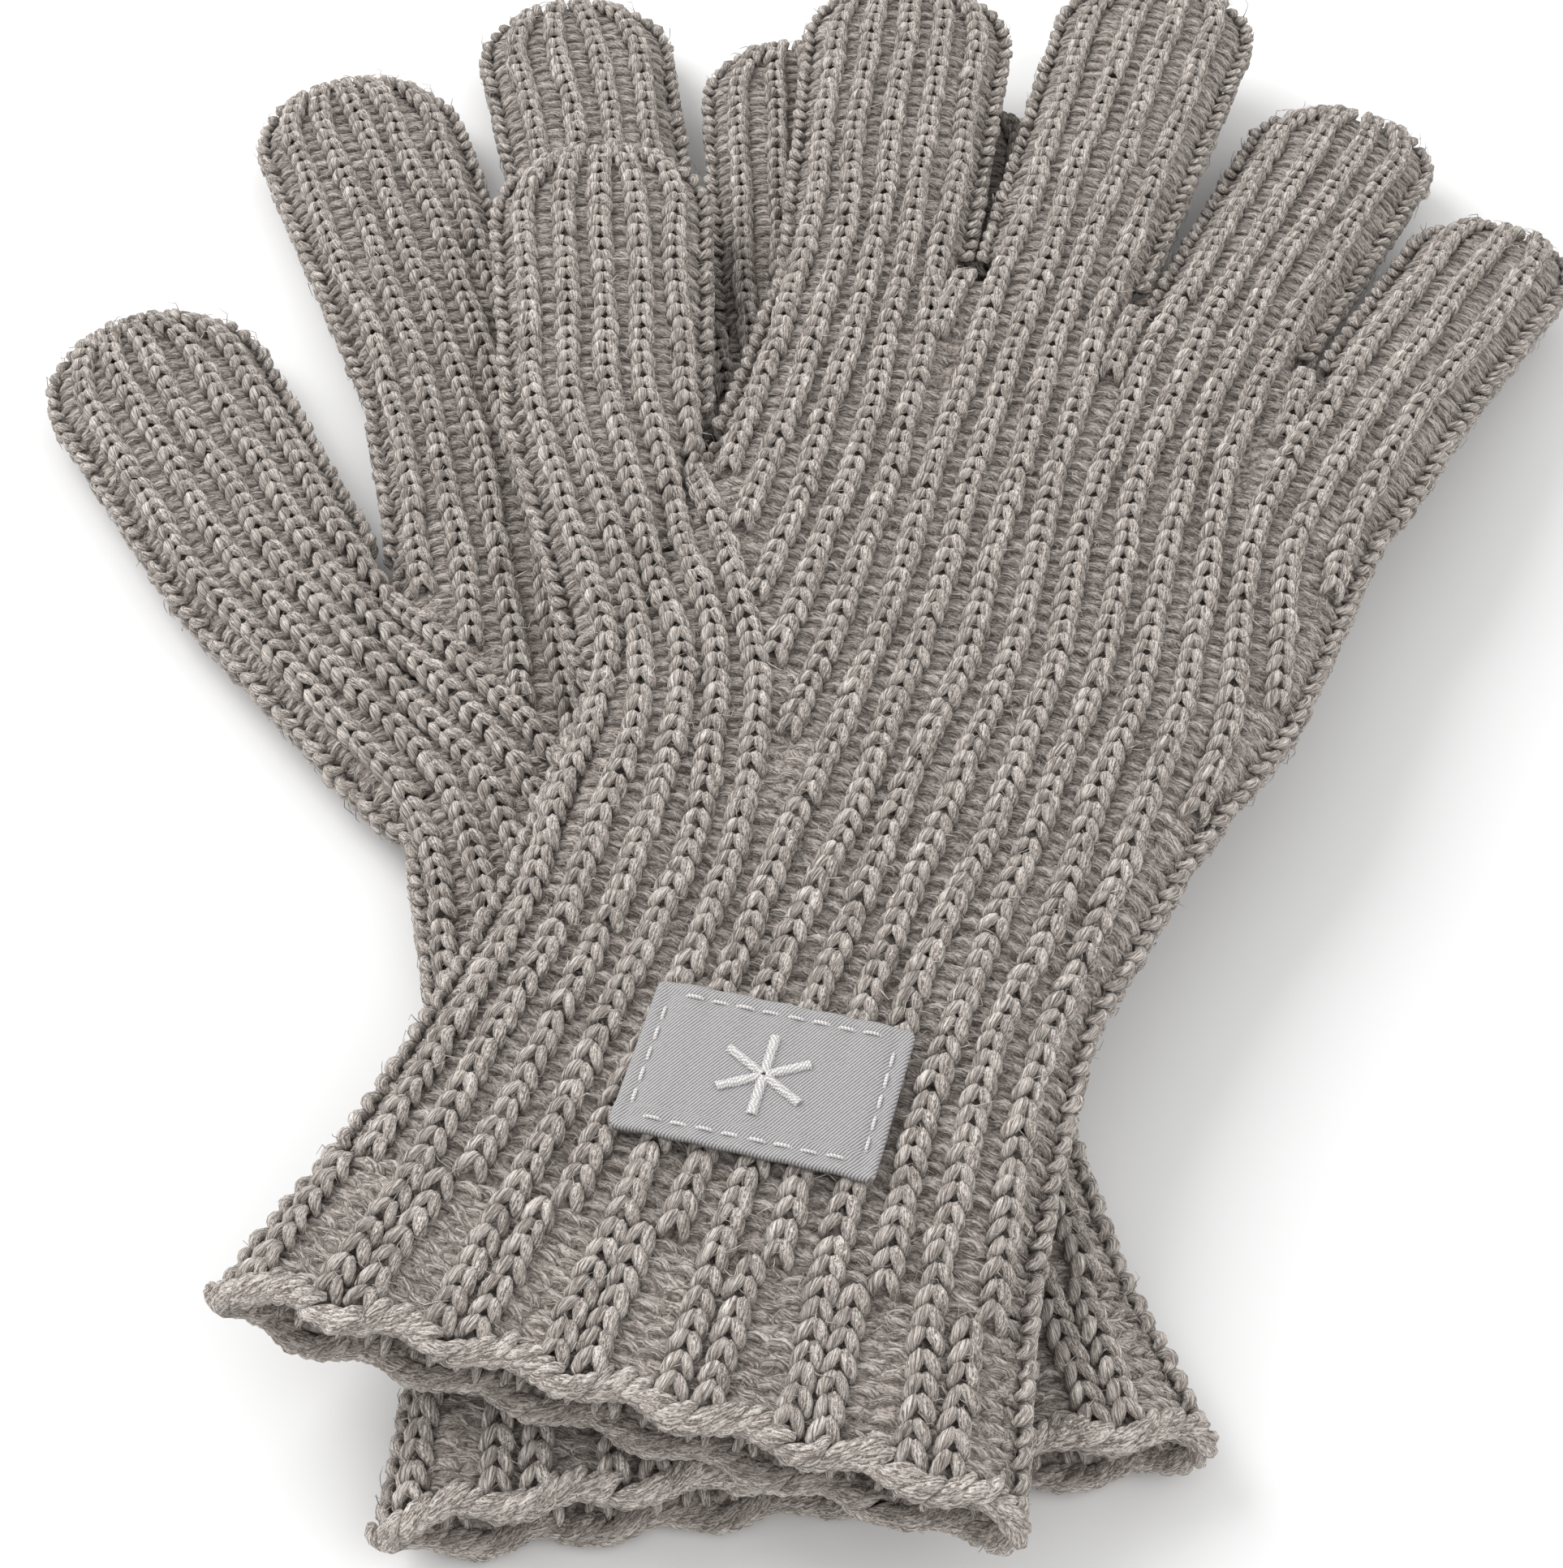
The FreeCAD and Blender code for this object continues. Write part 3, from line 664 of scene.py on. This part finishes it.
def fuzz(yarn, origin, frames, share, reach, height):
    """Stray fibres, so many to a place, up to reach to either side of it."""
    for fibre in LOOSE_FIBRES:
        chosen = rng.random(len(origin)) < share / len(LOOSE_FIBRES)
        place, axes = origin[chosen], frames[chosen]
        count = len(place)
        turn = rng.uniform(0, 2 * math.pi, count)
        place = place + rng.uniform(-reach, reach, count)[:, None] * axes[:, 0] + height * axes[:, 2]
        place = place + rng.uniform(-COURSE / 2, COURSE / 2, count)[:, None] * axes[:, 1]
        yarn.add(fibre, place, turned(axes, turn), rng.normal(0.85, 0.2, (count, 1)) * np.ones(3))


def knit_column(yarn, origin, frames, width):
    """Knit stitches: two legs at each place."""
    fuzz(yarn, origin, frames, share=2.4, reach=1.2, height=0.85)
    for leg in (RIGHT_LEG, LEFT_LEG):
        count = len(origin)
        scale = np.array([width, 1.0, 1.0]) * rng.normal(1, 0.05, (count, 3))
        yarn.add(leg, origin + rng.normal(0, 0.07, (count, 3)), leaning(frames, 4.0), scale)


def purl_bars(yarn, origin, frames, reach, raised):
    """Half of a gutter's purl stitches: the raised or the sunk bar at each place."""
    count = len(origin)
    bar = RAISED_BAR if raised else SUNK_BAR
    fuzz(yarn, origin, frames, share=0.9, reach=reach, height=-0.45)
    scale = rng.normal(1, 0.05, (count, 3))
    place = origin + rng.normal(0, 0.06, (count, 3))
    yarn.add(bar, place, leaning(frames, 4.0), scale, wide=reach * rng.normal(1, 0.04, count))


# ---- the 2x2 rib and the cast-on edge
PAIR_GAP = 0.62  # between the two columns of a pair, in sleeve column gaps
PANEL_GUTTERS = (1.04, 1.58)  # in the wide panel after a pair, in the same unit
INNER_HEIGHT = 1.7  # of the inside face of the cuff
INNER_STEP = 0.8  # between the columns there, in column gaps
CAST_ON_HEIGHT = 3.0  # of the middle line of the cord round the opening
CAST_ON_RING = 1.0  # how far the cord's strands stand off that line
CAST_ON_YARN = 0.74  # radius of a strand
CAST_ON_PITCH = 1.15
WAVE = 0.7  # how far the edge dips at each pair of columns


def cuff_curve(kind, column, side):
    plan = wander(curve_through([trunk_point(column, y) for y in (1.8, 5, 10, CUFF_RIB)]), 0.2)
    return Curve(kind, plan, None, side)


def cuff_curves(side):
    """Pairs of columns: an even column's partner stands beside it, and two gutters fill the wide panel."""
    curves = []
    for column in range(0, SLEEVE_COLUMNS + 1, 2):
        partner = column + side * PAIR_GAP
        if 0 < partner < SLEEVE_COLUMNS:
            curves.append(cuff_curve("column", partner, side))
        curves.append(cuff_curve("narrow gutter", column + side * PAIR_GAP / 2, side))
        for shift in PANEL_GUTTERS:
            gutter = column + side * shift
            if 0 < gutter < SLEEVE_COLUMNS:
                curves.append(cuff_curve("gutter", gutter, side))
    return curves


def cast_on_edge(yarn):
    """The cord of strands wound round the edge of the opening, dipping at each pair of columns."""
    strand = wrap_strand(-135, 135, CAST_ON_RING, CAST_ON_YARN, 0.85)
    columns = np.linspace(0, SLEEVE_COLUMNS, 240)
    loop, out, dip = [], [], []
    for side in (1, -1):
        order = columns if side > 0 else columns[::-1]
        plan = np.array([trunk_point(c, 0.4) for c in order])
        points, normals = lift(plan, side, None, half_height=CAST_ON_HEIGHT)
        loop.append(points)
        out.append(normals)
        dip.append(WAVE * np.cos(2 * math.pi * (order - side * PAIR_GAP / 2) / 2))
    loop, out, dip = np.concatenate(loop), np.concatenate(out), np.concatenate(dip)
    loop[:, 1] -= dip
    origin, frames = rows(loop, out, CAST_ON_PITCH)
    along_edge, out = frames[:, 1], frames[:, 2]
    up = np.cross(out, along_edge)
    count = len(origin)
    frames = leaning(np.stack([along_edge, up, out], 1), 7.0)
    scale = rng.normal(1.0, 0.05, (count, 3))
    yarn.add(strand, origin, frames, scale)


# ---- closed fabric under the stitches
def loft(name, rings, place):
    """A closed mesh through the rings, with its first and last ring filled."""
    count, size = len(rings), len(rings[0])
    points = place(np.concatenate(rings))
    k, s = np.meshgrid(np.arange(count - 1), np.arange(size), indexing="ij")
    n = (s + 1) % size
    here, above = k * size, (k + 1) * size
    quads = np.stack([here + s, above + s, above + n, here + n], -1).reshape(-1, 4)
    first, last = np.arange(size), (count - 1) * size + np.arange(size)[::-1]
    loops = np.concatenate([quads.ravel(), first, last])
    starts = np.concatenate([np.arange(len(quads)) * 4, [len(quads) * 4, len(quads) * 4 + size]])
    return make_mesh(name, points, loops, starts)


def ring_of(plan_of_share, finger, trunk, sink=BASE_DEPTH):
    """One closed ring round the fabric: over the upper face and back along the lower one."""
    shares = np.linspace(0, 1, 33)
    halves = []
    for side, order in ((1, shares[1:-1]), (-1, shares[::-1][1:-1])):
        plan = np.array([plan_of_share(s) for s in order])
        points, normals = lift(plan, side, finger, trunk)
        halves.append(points - sink * normals)
    return np.concatenate(halves)


TRUNK_END = 5.0  # from the trunk's top to the end of its fabric
THUMB_START = -38.0  # along the thumb from its fold, where its fabric starts in the gusset
TAPER = 40.0  # length over which that fabric widens


def trunk_ring(y, sink=BASE_DEPTH):
    """The ring at this height, held back from the crotches between the fingers."""

    def plan(share):
        x, height = trunk_point(share * gaps_at(y), y)
        return np.array([x, min(height, top_side(x)[0] - TRUNK_END)])

    return ring_of(plan, None, True, sink)


def trunk_rings():
    """From the inner end of the hollow sleeve down to the opening, round its edge and up to the fingers."""
    inside = [trunk_ring(y, BASE_DEPTH + WALL) for y in (LINING_END, 45, 30, 18, 8, 2, 0.2)]
    return inside + [trunk_ring(y) for y in (0.2, 2, 8, 18, 30, 45, 60, *range(70, 159, 8))]


def finger_rings(finger):
    """From inside the palm to the end of the rounded tip."""
    start = THUMB_START if finger.name == "thumb" else 2.0 - ROOT_LENGTH
    reach = finger.tip - OUTLINE_INSET
    over_tip = [finger.cap + reach * share for share in (0.3, 0.55, 0.75, 0.9, 0.98)]
    heights = list(np.linspace(start, finger.cap, 14)) + over_tip
    rings = []
    for v in heights:
        if v > finger.cap:
            half = math.sqrt(reach**2 - (v - finger.cap) ** 2)
        elif finger.name == "thumb" and v < 0:
            half = finger.root - OUTLINE_INSET + v * (finger.root - THUMB_GUSSET[1]) / TAPER
        else:
            half = float(finger.radius(v)) - OUTLINE_INSET

        def plan(share):
            return finger.at(float(spread(np.array(share), 2 * half) - half), v)

        rings.append(ring_of(plan, finger, False))
    return rings


# ---- a whole glove
BEND_BEFORE = 3.0  # how far before a finger's fold line, moved out by its setback, the finger's piece starts
BEND_AFTER = 16.0  # and how far beyond it the bend span worked out in attach ends; nothing reads that span
SAG_START = 5.0  # length over which a finger starts to droop
CUFF_END = CUFF_RIB + 1.5
WRIST_END = 52.0
HAND_SPLIT = 100.0  # each face of the hand is two pieces, below and above this height
SHORTEST_CURVE = 12  # points


class Glove:
    """One of the pair, set on its mount. A finger in setbacks starts its own piece that much further out
    past its fold line.
    """

    def __init__(self, prefix, jointed, setbacks, drooping):
        self.prefix, self.jointed, self.setbacks, self.drooping = prefix, jointed, setbacks, drooping
        mounts = {mount["name"]: mount for mount in frame["record"]["mounts"]}
        place = mounts[f"{prefix}_hand_opening"]
        self.origin = np.array(place["pos_m"]) / MM
        ahead = -np.array(place["axis"])
        self.axes = np.array([[ahead[1], -ahead[0], 0], [ahead[0], ahead[1], 0], [0, 0, 1]])

    def place(self, points):
        return points @ self.axes + self.origin

    def sag(self, points, finger):
        """Fingers of the upper glove droop beyond their folds."""
        if self.drooping and finger is not None and finger.droop:
            v = finger.where(points)
            points[:, 2] -= finger.droop * SAG_START * np.log1p(np.exp(np.clip(v / SAG_START, -20, 20)))
        return points

    def fold_at(self, finger):
        return self.setbacks.get(finger.name, 0.0)

    def region(self, points, finger, side):
        """The name of the piece that each point belongs to."""
        height = points[:, 1]
        names = np.where(height < CUFF_END, "cuff", "wrist").astype(object)
        hand = height >= WRIST_END
        names[hand] = "hand_top" if side >= 0 else "hand_under"
        names[hand & (height > HAND_SPLIT)] += "_high"
        if finger is not None:
            names[finger.where(points) > self.fold_at(finger) - BEND_BEFORE] = finger.name
        return names

    def knit(self, yarns, curve, inside=False):
        """Adds one curve's stitches to the yarn of each piece that it crosses."""
        if len(curve.plan) < SHORTEST_CURVE:
            return
        half_height = INNER_HEIGHT if inside else HALF_HEIGHT
        points, normals = lift(curve.plan, curve.side, curve.finger, half_height=half_height)
        points = self.sag(points, curve.finger)
        is_column = curve.kind == "column"
        width = COLUMN_SCALE * (INNER_STEP if inside else 1.0)
        reach = NARROW_BAR_REACH if curve.kind == "narrow gutter" else BAR_REACH
        starts = {None: 0.0} if is_column else {True: 0.25, False: 0.75}
        for raised, start in starts.items():
            origin, frames = rows(points, -normals if inside else normals, COURSE, start * COURSE)
            names = self.region(origin, curve.finger, curve.side)
            for name in dict.fromkeys(names):
                chosen = names == name
                yarn = yarns.setdefault(name, Yarn())
                if is_column:
                    knit_column(yarn, origin[chosen], frames[chosen], width)
                else:
                    purl_bars(yarn, origin[chosen], frames[chosen], reach, raised)

    def build(self):
        """The glove's pieces by name."""
        yarns = {}
        for side in (1, -1):
            for make_curves in (glove_curves, cuff_curves):
                for curve in make_curves(side):
                    self.knit(yarns, curve)
            for column in np.arange(0.5, SLEEVE_COLUMNS, INNER_STEP):
                plan = curve_through([trunk_point(column, y) for y in (1.5, 5, 9, 13)])
                self.knit(yarns, Curve("column", plan, None, side), inside=True)
        for curve in rim_curves():
            self.knit(yarns, curve)
        yarns["cuff_edge"] = Yarn()
        cast_on_edge(yarns["cuff_edge"])
        pieces = {}
        for name, yarn in yarns.items():
            pieces[name] = yarn.mesh(f"{self.prefix}_{name}_knit", self.place)
        pieces["lining"] = loft(f"{self.prefix}_glove_fabric", trunk_rings(), self.place)
        for finger in FINGERS.values():
            rings = [self.sag(ring, finger) for ring in finger_rings(finger)]
            pieces[finger.name + "_lining"] = loft(f"{self.prefix}_{finger.name}_fabric", rings, self.place)
        return pieces

    def attach(self, pieces, yarn_material, fabric_material):
        """Gives each piece its material, bakes the jointed pieces into world space, ties the others to the
        glove's body, and hides the CAD node that each piece apart from the trunk's fabric stands for.
        """
        glove_body = f"{self.prefix}_glove"
        for name, piece in pieces.items():
            is_lining = name.endswith("lining")
            piece.data.materials.append(fabric_material if is_lining else yarn_material)
            part = name.replace("_lining", "")
            if part in self.jointed:
                fold = self.fold_at(FINGERS[part])
                bend = [[*FINGERS[part].at(0.0, v), 0] for v in (fold - BEND_BEFORE, fold + BEND_AFTER)]
                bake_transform(piece)
            else:
                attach(piece, glove_body)
            if name != "lining":
                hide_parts(f"{self.prefix}_{'hand' if part.startswith('hand') else part}")


# ---- the woven label
LABEL_FLAT = (25.0, 17.5)
LABEL_TURN = 3.5  # degrees
LABEL_THICKNESS = 0.5
LABEL_FOLD = 2.6  # the doubled strip along its lower edge
LABEL_CORNER = 0.8
LABEL_SINK = 0.15  # its middle below the top of the CAD label
RIB_PITCH = 4.45  # of the ribs that show through it
STITCH_INSET = 1.5
STITCH_LENGTH = 1.7
STITCH_PITCH = 2.45
THREAD = 0.17
STAR_ARMS = 6
STAR_REACH = 4.5
STAR_WIDTH = 0.95
STAR_HOLE = 0.35  # from its middle to its first stitches
SATIN_PITCH = 0.27


def label_height(x, y):
    """The label's upper face: it follows the ribs a little and is doubled along its lower edge."""
    half_width, half_length = LABEL_FLAT[0] / 2, LABEL_FLAT[1] / 2
    ribs = 0.09 * np.cos(2 * math.pi * x / RIB_PITCH) * smooth_step(np.abs(y) / half_length)
    doubled = 0.28 * (1 - smooth_step((y + half_length - LABEL_FOLD) / 0.35))
    edge = np.minimum(half_width - np.abs(x), half_length - np.abs(y))
    pressed = -0.16 * (1 - smooth_step(np.abs(edge - STITCH_INSET) / 0.8))
    sagging = -0.3 * smooth_step((np.abs(x) - 8) / 6)
    return ribs + doubled + pressed + sagging - 0.22 * (1 - smooth_step(edge / 0.3))


def label_cloth(place):
    """The cloth with its rounded corners: an upper face, a lower face and the cut edge between them."""
    half_width, half_length = LABEL_FLAT[0] / 2, LABEL_FLAT[1] / 2
    across, along = np.linspace(-half_width, half_width, 101), np.linspace(-half_length, half_length, 71)
    x, y = np.meshgrid(across, along)
    across = np.minimum(half_width - np.abs(x), LABEL_CORNER)
    along = np.minimum(half_length - np.abs(y), LABEL_CORNER)
    cut = LABEL_CORNER - np.hypot(LABEL_CORNER - across, LABEL_CORNER - along)
    x, y = x + np.sign(x) * np.minimum(cut, 0), y + np.sign(y) * np.minimum(cut, 0)
    lines, columns = x.shape
    top = np.stack([x, y, label_height(x, y)], -1).reshape(-1, 3)
    under = top - [0, 0, LABEL_THICKNESS]
    line, column = np.meshgrid(np.arange(lines - 1), np.arange(columns - 1), indexing="ij")
    corner = (line * columns + column).ravel()
    upper = np.stack([corner, corner + 1, corner + columns + 1, corner + columns], -1)
    lower = upper[:, ::-1] + len(top)
    number = np.arange(lines * columns).reshape(lines, columns)
    rim = np.concatenate([number[0], number[1:, -1], number[-1, -2::-1], number[-2:0:-1, 0]])
    after = np.roll(rim, -1)
    sides = np.stack([rim + len(top), after + len(top), after, rim], -1)
    loops = np.concatenate([upper, lower, sides]).ravel()
    points = np.concatenate([top, under])
    starts = np.arange(0, len(loops), 4)
    return make_mesh("wrist_label_cloth", place(points), loops, starts, fibre=points)


def thread_stitch(half, shoulder, heights, end_width):
    """A stitch of thread that rises out of the cloth, over its two shoulders, and goes back in."""
    points = [(-half, 0, heights[0]), (-shoulder, 0, heights[1]), (0, 0, heights[2])]
    return even_strand(points, [THREAD * end_width, THREAD, THREAD], 8)


def border_stitches():
    """Places and angles of the running stitches along the label's four edges."""
    half_width, half_length = (size / 2 - STITCH_INSET for size in LABEL_FLAT)
    spots, angles = [], []
    for reach, offset, angle in ((half_width, half_length, 0.0), (half_length, half_width, math.pi / 2)):
        count = int((2 * reach - 0.6) / STITCH_PITCH)
        for at in (np.arange(count) - (count - 1) / 2) * STITCH_PITCH:
            for side in (-1, 1):
                spots.append((side * offset, at) if angle else (at, side * offset))
                angles.append(angle)
    return spots, angles


def star_stitches():
    """Places and angles of the satin stitches across the arms of a plain star."""
    spots, angles = [], []
    for arm in range(STAR_ARMS):
        angle = arm * 2 * math.pi / STAR_ARMS + math.pi / 2
        for out in np.arange(STAR_HOLE, STAR_REACH, SATIN_PITCH):
            spots.append((out * math.cos(angle), out * math.sin(angle)))
            angles.append(angle + math.pi / 2)
    return spots, angles


def label_thread(place):
    yarn = Yarn()
    running = thread_stitch(STITCH_LENGTH / 2, 0.5, (-0.12, 0.08, 0.1), 0.8)
    satin = thread_stitch(STAR_WIDTH / 2, STAR_WIDTH / 4, (-0.05, 0.18, 0.24), 0.7)
    for stitch, (spots, angles) in ((running, border_stitches()), (satin, star_stitches())):
        spots, angles = np.array(spots), np.array(angles)
        origin = np.column_stack([spots, label_height(spots[:, 0], spots[:, 1]) + 0.05])
        level = np.repeat(np.eye(3)[None], len(angles), 0)
        yarn.add(stitch, origin, turned(level, angles), np.ones((len(angles), 3)))
    return yarn.mesh("wrist_label_thread", place)


def build_label(glove, cloth_material, thread_material):
    low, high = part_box("wrist_label")
    middle = np.array((low + high) / 2) / MM
    middle[2] = high.z / MM - LABEL_SINK
    cosine, sine = math.cos(math.radians(LABEL_TURN)), math.sin(math.radians(LABEL_TURN))
    label_axes = np.array([[cosine, sine, 0], [-sine, cosine, 0], [0, 0, 1]])

    def place(points):
        return points @ label_axes @ glove.axes + middle

    cloth, thread = label_cloth(place), label_thread(place)
    cloth.data.materials.append(cloth_material)
    thread.data.materials.append(thread_material)
    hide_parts("wrist_label")
    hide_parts("label_stitching", "label_motif")
    for piece in (cloth, thread):
        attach(piece, "right_glove")


# ---- materials
def new_material(name):
    material = bpy.data.materials.new(name)
    material.use_nodes = True
    return material, material.node_tree


def add_node(tree, kind, inputs, **settings):
    """A node with its settings, and with a link or a value for each of these inputs."""
    node = tree.nodes.new(kind)
    for key, value in settings.items():
        setattr(node, key, value)
    for key, value in inputs.items():
        if isinstance(value, bpy.types.NodeSocket):
            tree.links.new(value, node.inputs[key])
        else:
            node.inputs[key].default_value = value
    return node


def attribute(tree, name):
    return add_node(tree, "ShaderNodeAttribute", {}, attribute_name=name).outputs


def noise(tree, vector, stretch, detail=2.0, roughness=0.5):
    """Noise with this many waves to a unit along each axis of the vector."""
    scaled = add_node(tree, "ShaderNodeVectorMath", {0: vector, 1: stretch}, operation="MULTIPLY")
    inputs = {"Vector": scaled.outputs[0], "Scale": 1.0, "Detail": detail, "Roughness": roughness}
    return add_node(tree, "ShaderNodeTexNoise", inputs).outputs["Fac"]


def ramp(tree, value, low, high, middle=None):
    """Colours by value; low, high and middle are (position, colour)."""
    node = add_node(tree, "ShaderNodeValToRGB", {0: value})
    stops = [low, high] if middle is None else [low, middle, high]
    elements = node.color_ramp.elements
    while len(elements) < len(stops):
        elements.new(0.5)
    for element, (at, colour) in zip(elements, stops):
        element.position = at
        element.color = (*colour, 1)
    return node.outputs[0]


def mix(tree, share, a, b, blend_type="MIX"):
    node = add_node(tree, "ShaderNodeMix", {}, data_type="RGBA", blend_type=blend_type)
    node.inputs[0].default_value = share
    tree.links.new(a, node.inputs[6])
    tree.links.new(b, node.inputs[7])
    return node.outputs[2]


def finish_shader(tree, constants, colour=None, height=None, strength=1.0, distance=0.0):
    """Sets the shader's constants, and links its colour and the height for its bump."""
    shader = tree.nodes["Principled BSDF"]
    for name, value in constants.items():
        shader.inputs[name].default_value = value
    if colour is not None:
        tree.links.new(colour, shader.inputs["Base Color"])
    if height is not None:
        inputs = {"Height": height, "Strength": strength, "Distance": distance}
        bump = add_node(tree, "ShaderNodeBump", inputs)
        tree.links.new(bump.outputs[0], shader.inputs["Normal"])


DARK_FIBRE = (0.18, 0.15, 0.13)
MIDDLE_FIBRE = (0.57, 0.50, 0.45)
LIGHT_FIBRE = (1.0, 0.95, 0.89)
# the yarn's colours darkened for the backs of the stitches: painted shade
SHADED_BACK_DARK = (0.12, 0.1, 0.088)
SHADED_BACK_LIGHT = (0.5, 0.44, 0.4)
WHITE = (1.0, 1.0, 1.0)


def yarn_material():
    """Melange yarn: light and dark fibres along the strand, twisted a little round it, with painted shade
    that darkens the low parts of the strands.
    """
    material, tree = new_material("melange_yarn")
    fibre = attribute(tree, "fibre")["Vector"]
    streak = noise(tree, fibre, (0.4, 5.0, 5.0), 3.0, 0.7)
    patch = noise(tree, fibre, (0.22, 0.5, 0.5), 1.0)
    fine = noise(tree, fibre, (0.8, 7.0, 7.0), 2.0, 0.6)
    colour = ramp(tree, streak, (0.40, DARK_FIBRE), (0.61, LIGHT_FIBRE), (0.5, MIDDLE_FIBRE))
    colour = mix(tree, 1.0, colour, ramp(tree, patch, (0.3, (0.70, 0.69, 0.68)), (0.7, WHITE)), "MULTIPLY")
    # painted shade: the colour darkens down to 0.62 where the strands lie low, between and under the
    # stitches
    relief = attribute(tree, "relief")["Fac"]
    raised = add_node(tree, "ShaderNodeMapRange", {0: relief, 1: -1.0, 2: 0.5, 3: 0.0, 4: 1.0}).outputs[0]
    colour = mix(tree, 1.0, colour, ramp(tree, raised, (0.0, (0.62, 0.6, 0.59)), (1.0, WHITE)), "MULTIPLY")
    constants = {"Roughness": 0.95, "Specular IOR Level": 0.2, "Sheen Weight": 0.35, "Sheen Roughness": 0.6,
                 "Sheen Tint": (0.9, 0.86, 0.83, 1)}
    finish_shader(tree, constants, colour, fine, 1.0, 0.0004)
    return material


def fabric_material():
    """The backs of the stitches, deep between the columns: melange threads in colours darker than the
    yarn's, the darkening being painted shade.
    """
    material, tree = new_material("melange_fabric")
    place = add_node(tree, "ShaderNodeTexCoord", {}).outputs["Object"]
    threads = noise(tree, place, (1500.0, 1500.0, 1500.0), 3.0, 0.7)
    colour = ramp(tree, threads, (0.38, SHADED_BACK_DARK), (0.62, SHADED_BACK_LIGHT))
    finish_shader(tree, {"Roughness": 1.0, "Specular IOR Level": 0.1}, colour, threads, 0.8, 0.0004)
    return material


def label_material(name, dark, light, roughness):
    """Fine silvery satin weave: threads that catch the light in diagonal steps."""
    material, tree = new_material(name)
    place = attribute(tree, "fibre")["Vector"]
    slant = {"Vector": place, "Rotation": (0, 0, math.radians(32))}
    slanted = add_node(tree, "ShaderNodeMapping", slant).outputs[0]
    waves = {"Vector": slanted, "Scale": 1.15, "Distortion": 0.6, "Detail": 2.0, "Detail Scale": 3.0}
    twill = add_node(tree, "ShaderNodeTexWave", waves).outputs["Fac"]
    weave = mix(tree, 0.5, twill, noise(tree, place, (1.6, 9.0, 9.0), 2.0, 0.7))
    colour = ramp(tree, weave, (0.3, dark), (0.68, light))
    finish_shader(tree, {"Roughness": roughness, "Sheen Weight": 0.15}, colour, weave, 0.8, 0.00015)
    return material


# ---- floor, light and camera
LIGHTS = (  # name, place in metres, size and power
    ("key", (-0.75, 0.5, 0.85), 0.8, 10.0),
    ("fill", (0.7, -0.5, 0.8), 0.9, 2.0),
)
FLOOR_SIZE = 60.0  # metres
FLOOR_HEIGHT = -0.0003
CAMERA_TARGET = (-5.2, -23.85, 0)
CAMERA_PLACE = (-5.2, -237.15, 236.8)


def floor():
    bpy.ops.mesh.primitive_plane_add(size=FLOOR_SIZE, location=(0, 0, FLOOR_HEIGHT))
    plane = bpy.context.object
    plane.name = "pale_floor"
    material, tree = new_material("pale_floor")
    finish_shader(tree, {"Base Color": (0.86, 0.86, 0.86, 1), "Roughness": 0.9})
    plane.data.materials.append(material)


def aim(obj, place, target):
    obj.location = place
    obj.rotation_euler = (target - place).to_track_quat("-Z", "Y").to_euler()


def studio():
    """An even white sky, and two soft lamps that point at the gloves."""
    world = bpy.data.worlds.new("studio")
    world.use_nodes = True
    background = world.node_tree.nodes["Background"]
    background.inputs["Color"].default_value = (1, 1, 1, 1)
    background.inputs["Strength"].default_value = 0.88
    bpy.context.scene.world = world
    bpy.context.scene.view_settings.view_transform = "Standard"
    for name, place, size, power in LIGHTS:
        light = bpy.data.lights.new(name, "AREA")
        light.size = size
        light.energy = power
        aim(link(bpy.data.objects.new(name, light)), Vector(place), Vector())


def camera():
    data = bpy.data.cameras.new("camera")
    data.sensor_width = 36
    data.sensor_fit = "AUTO"
    data.lens = 66.54
    data.clip_start = 0.01
    obj = link(bpy.data.objects.new("camera", data))
    aim(obj, Vector(CAMERA_PLACE) * MM, Vector(CAMERA_TARGET) * MM)
    bpy.context.scene.camera = obj


# ---- the pair
yarn = yarn_material()
fabric = fabric_material()
left = Glove("left", ("thumb", "index_finger"), {"index_finger": 22.0}, False)
right = Glove("right", tuple(FINGERS), {}, True)
for glove in (left, right):
    glove.attach(glove.build(), yarn, fabric)
cloth_material = label_material("label_satin", (0.17, 0.163, 0.165), (0.52, 0.505, 0.51), 0.45)
thread_material = label_material("label_thread", (0.5, 0.48, 0.47), (0.85, 0.83, 0.82), 0.5)
build_label(right, cloth_material, thread_material)
floor()
studio()
camera()
bpy.context.view_layer.update()
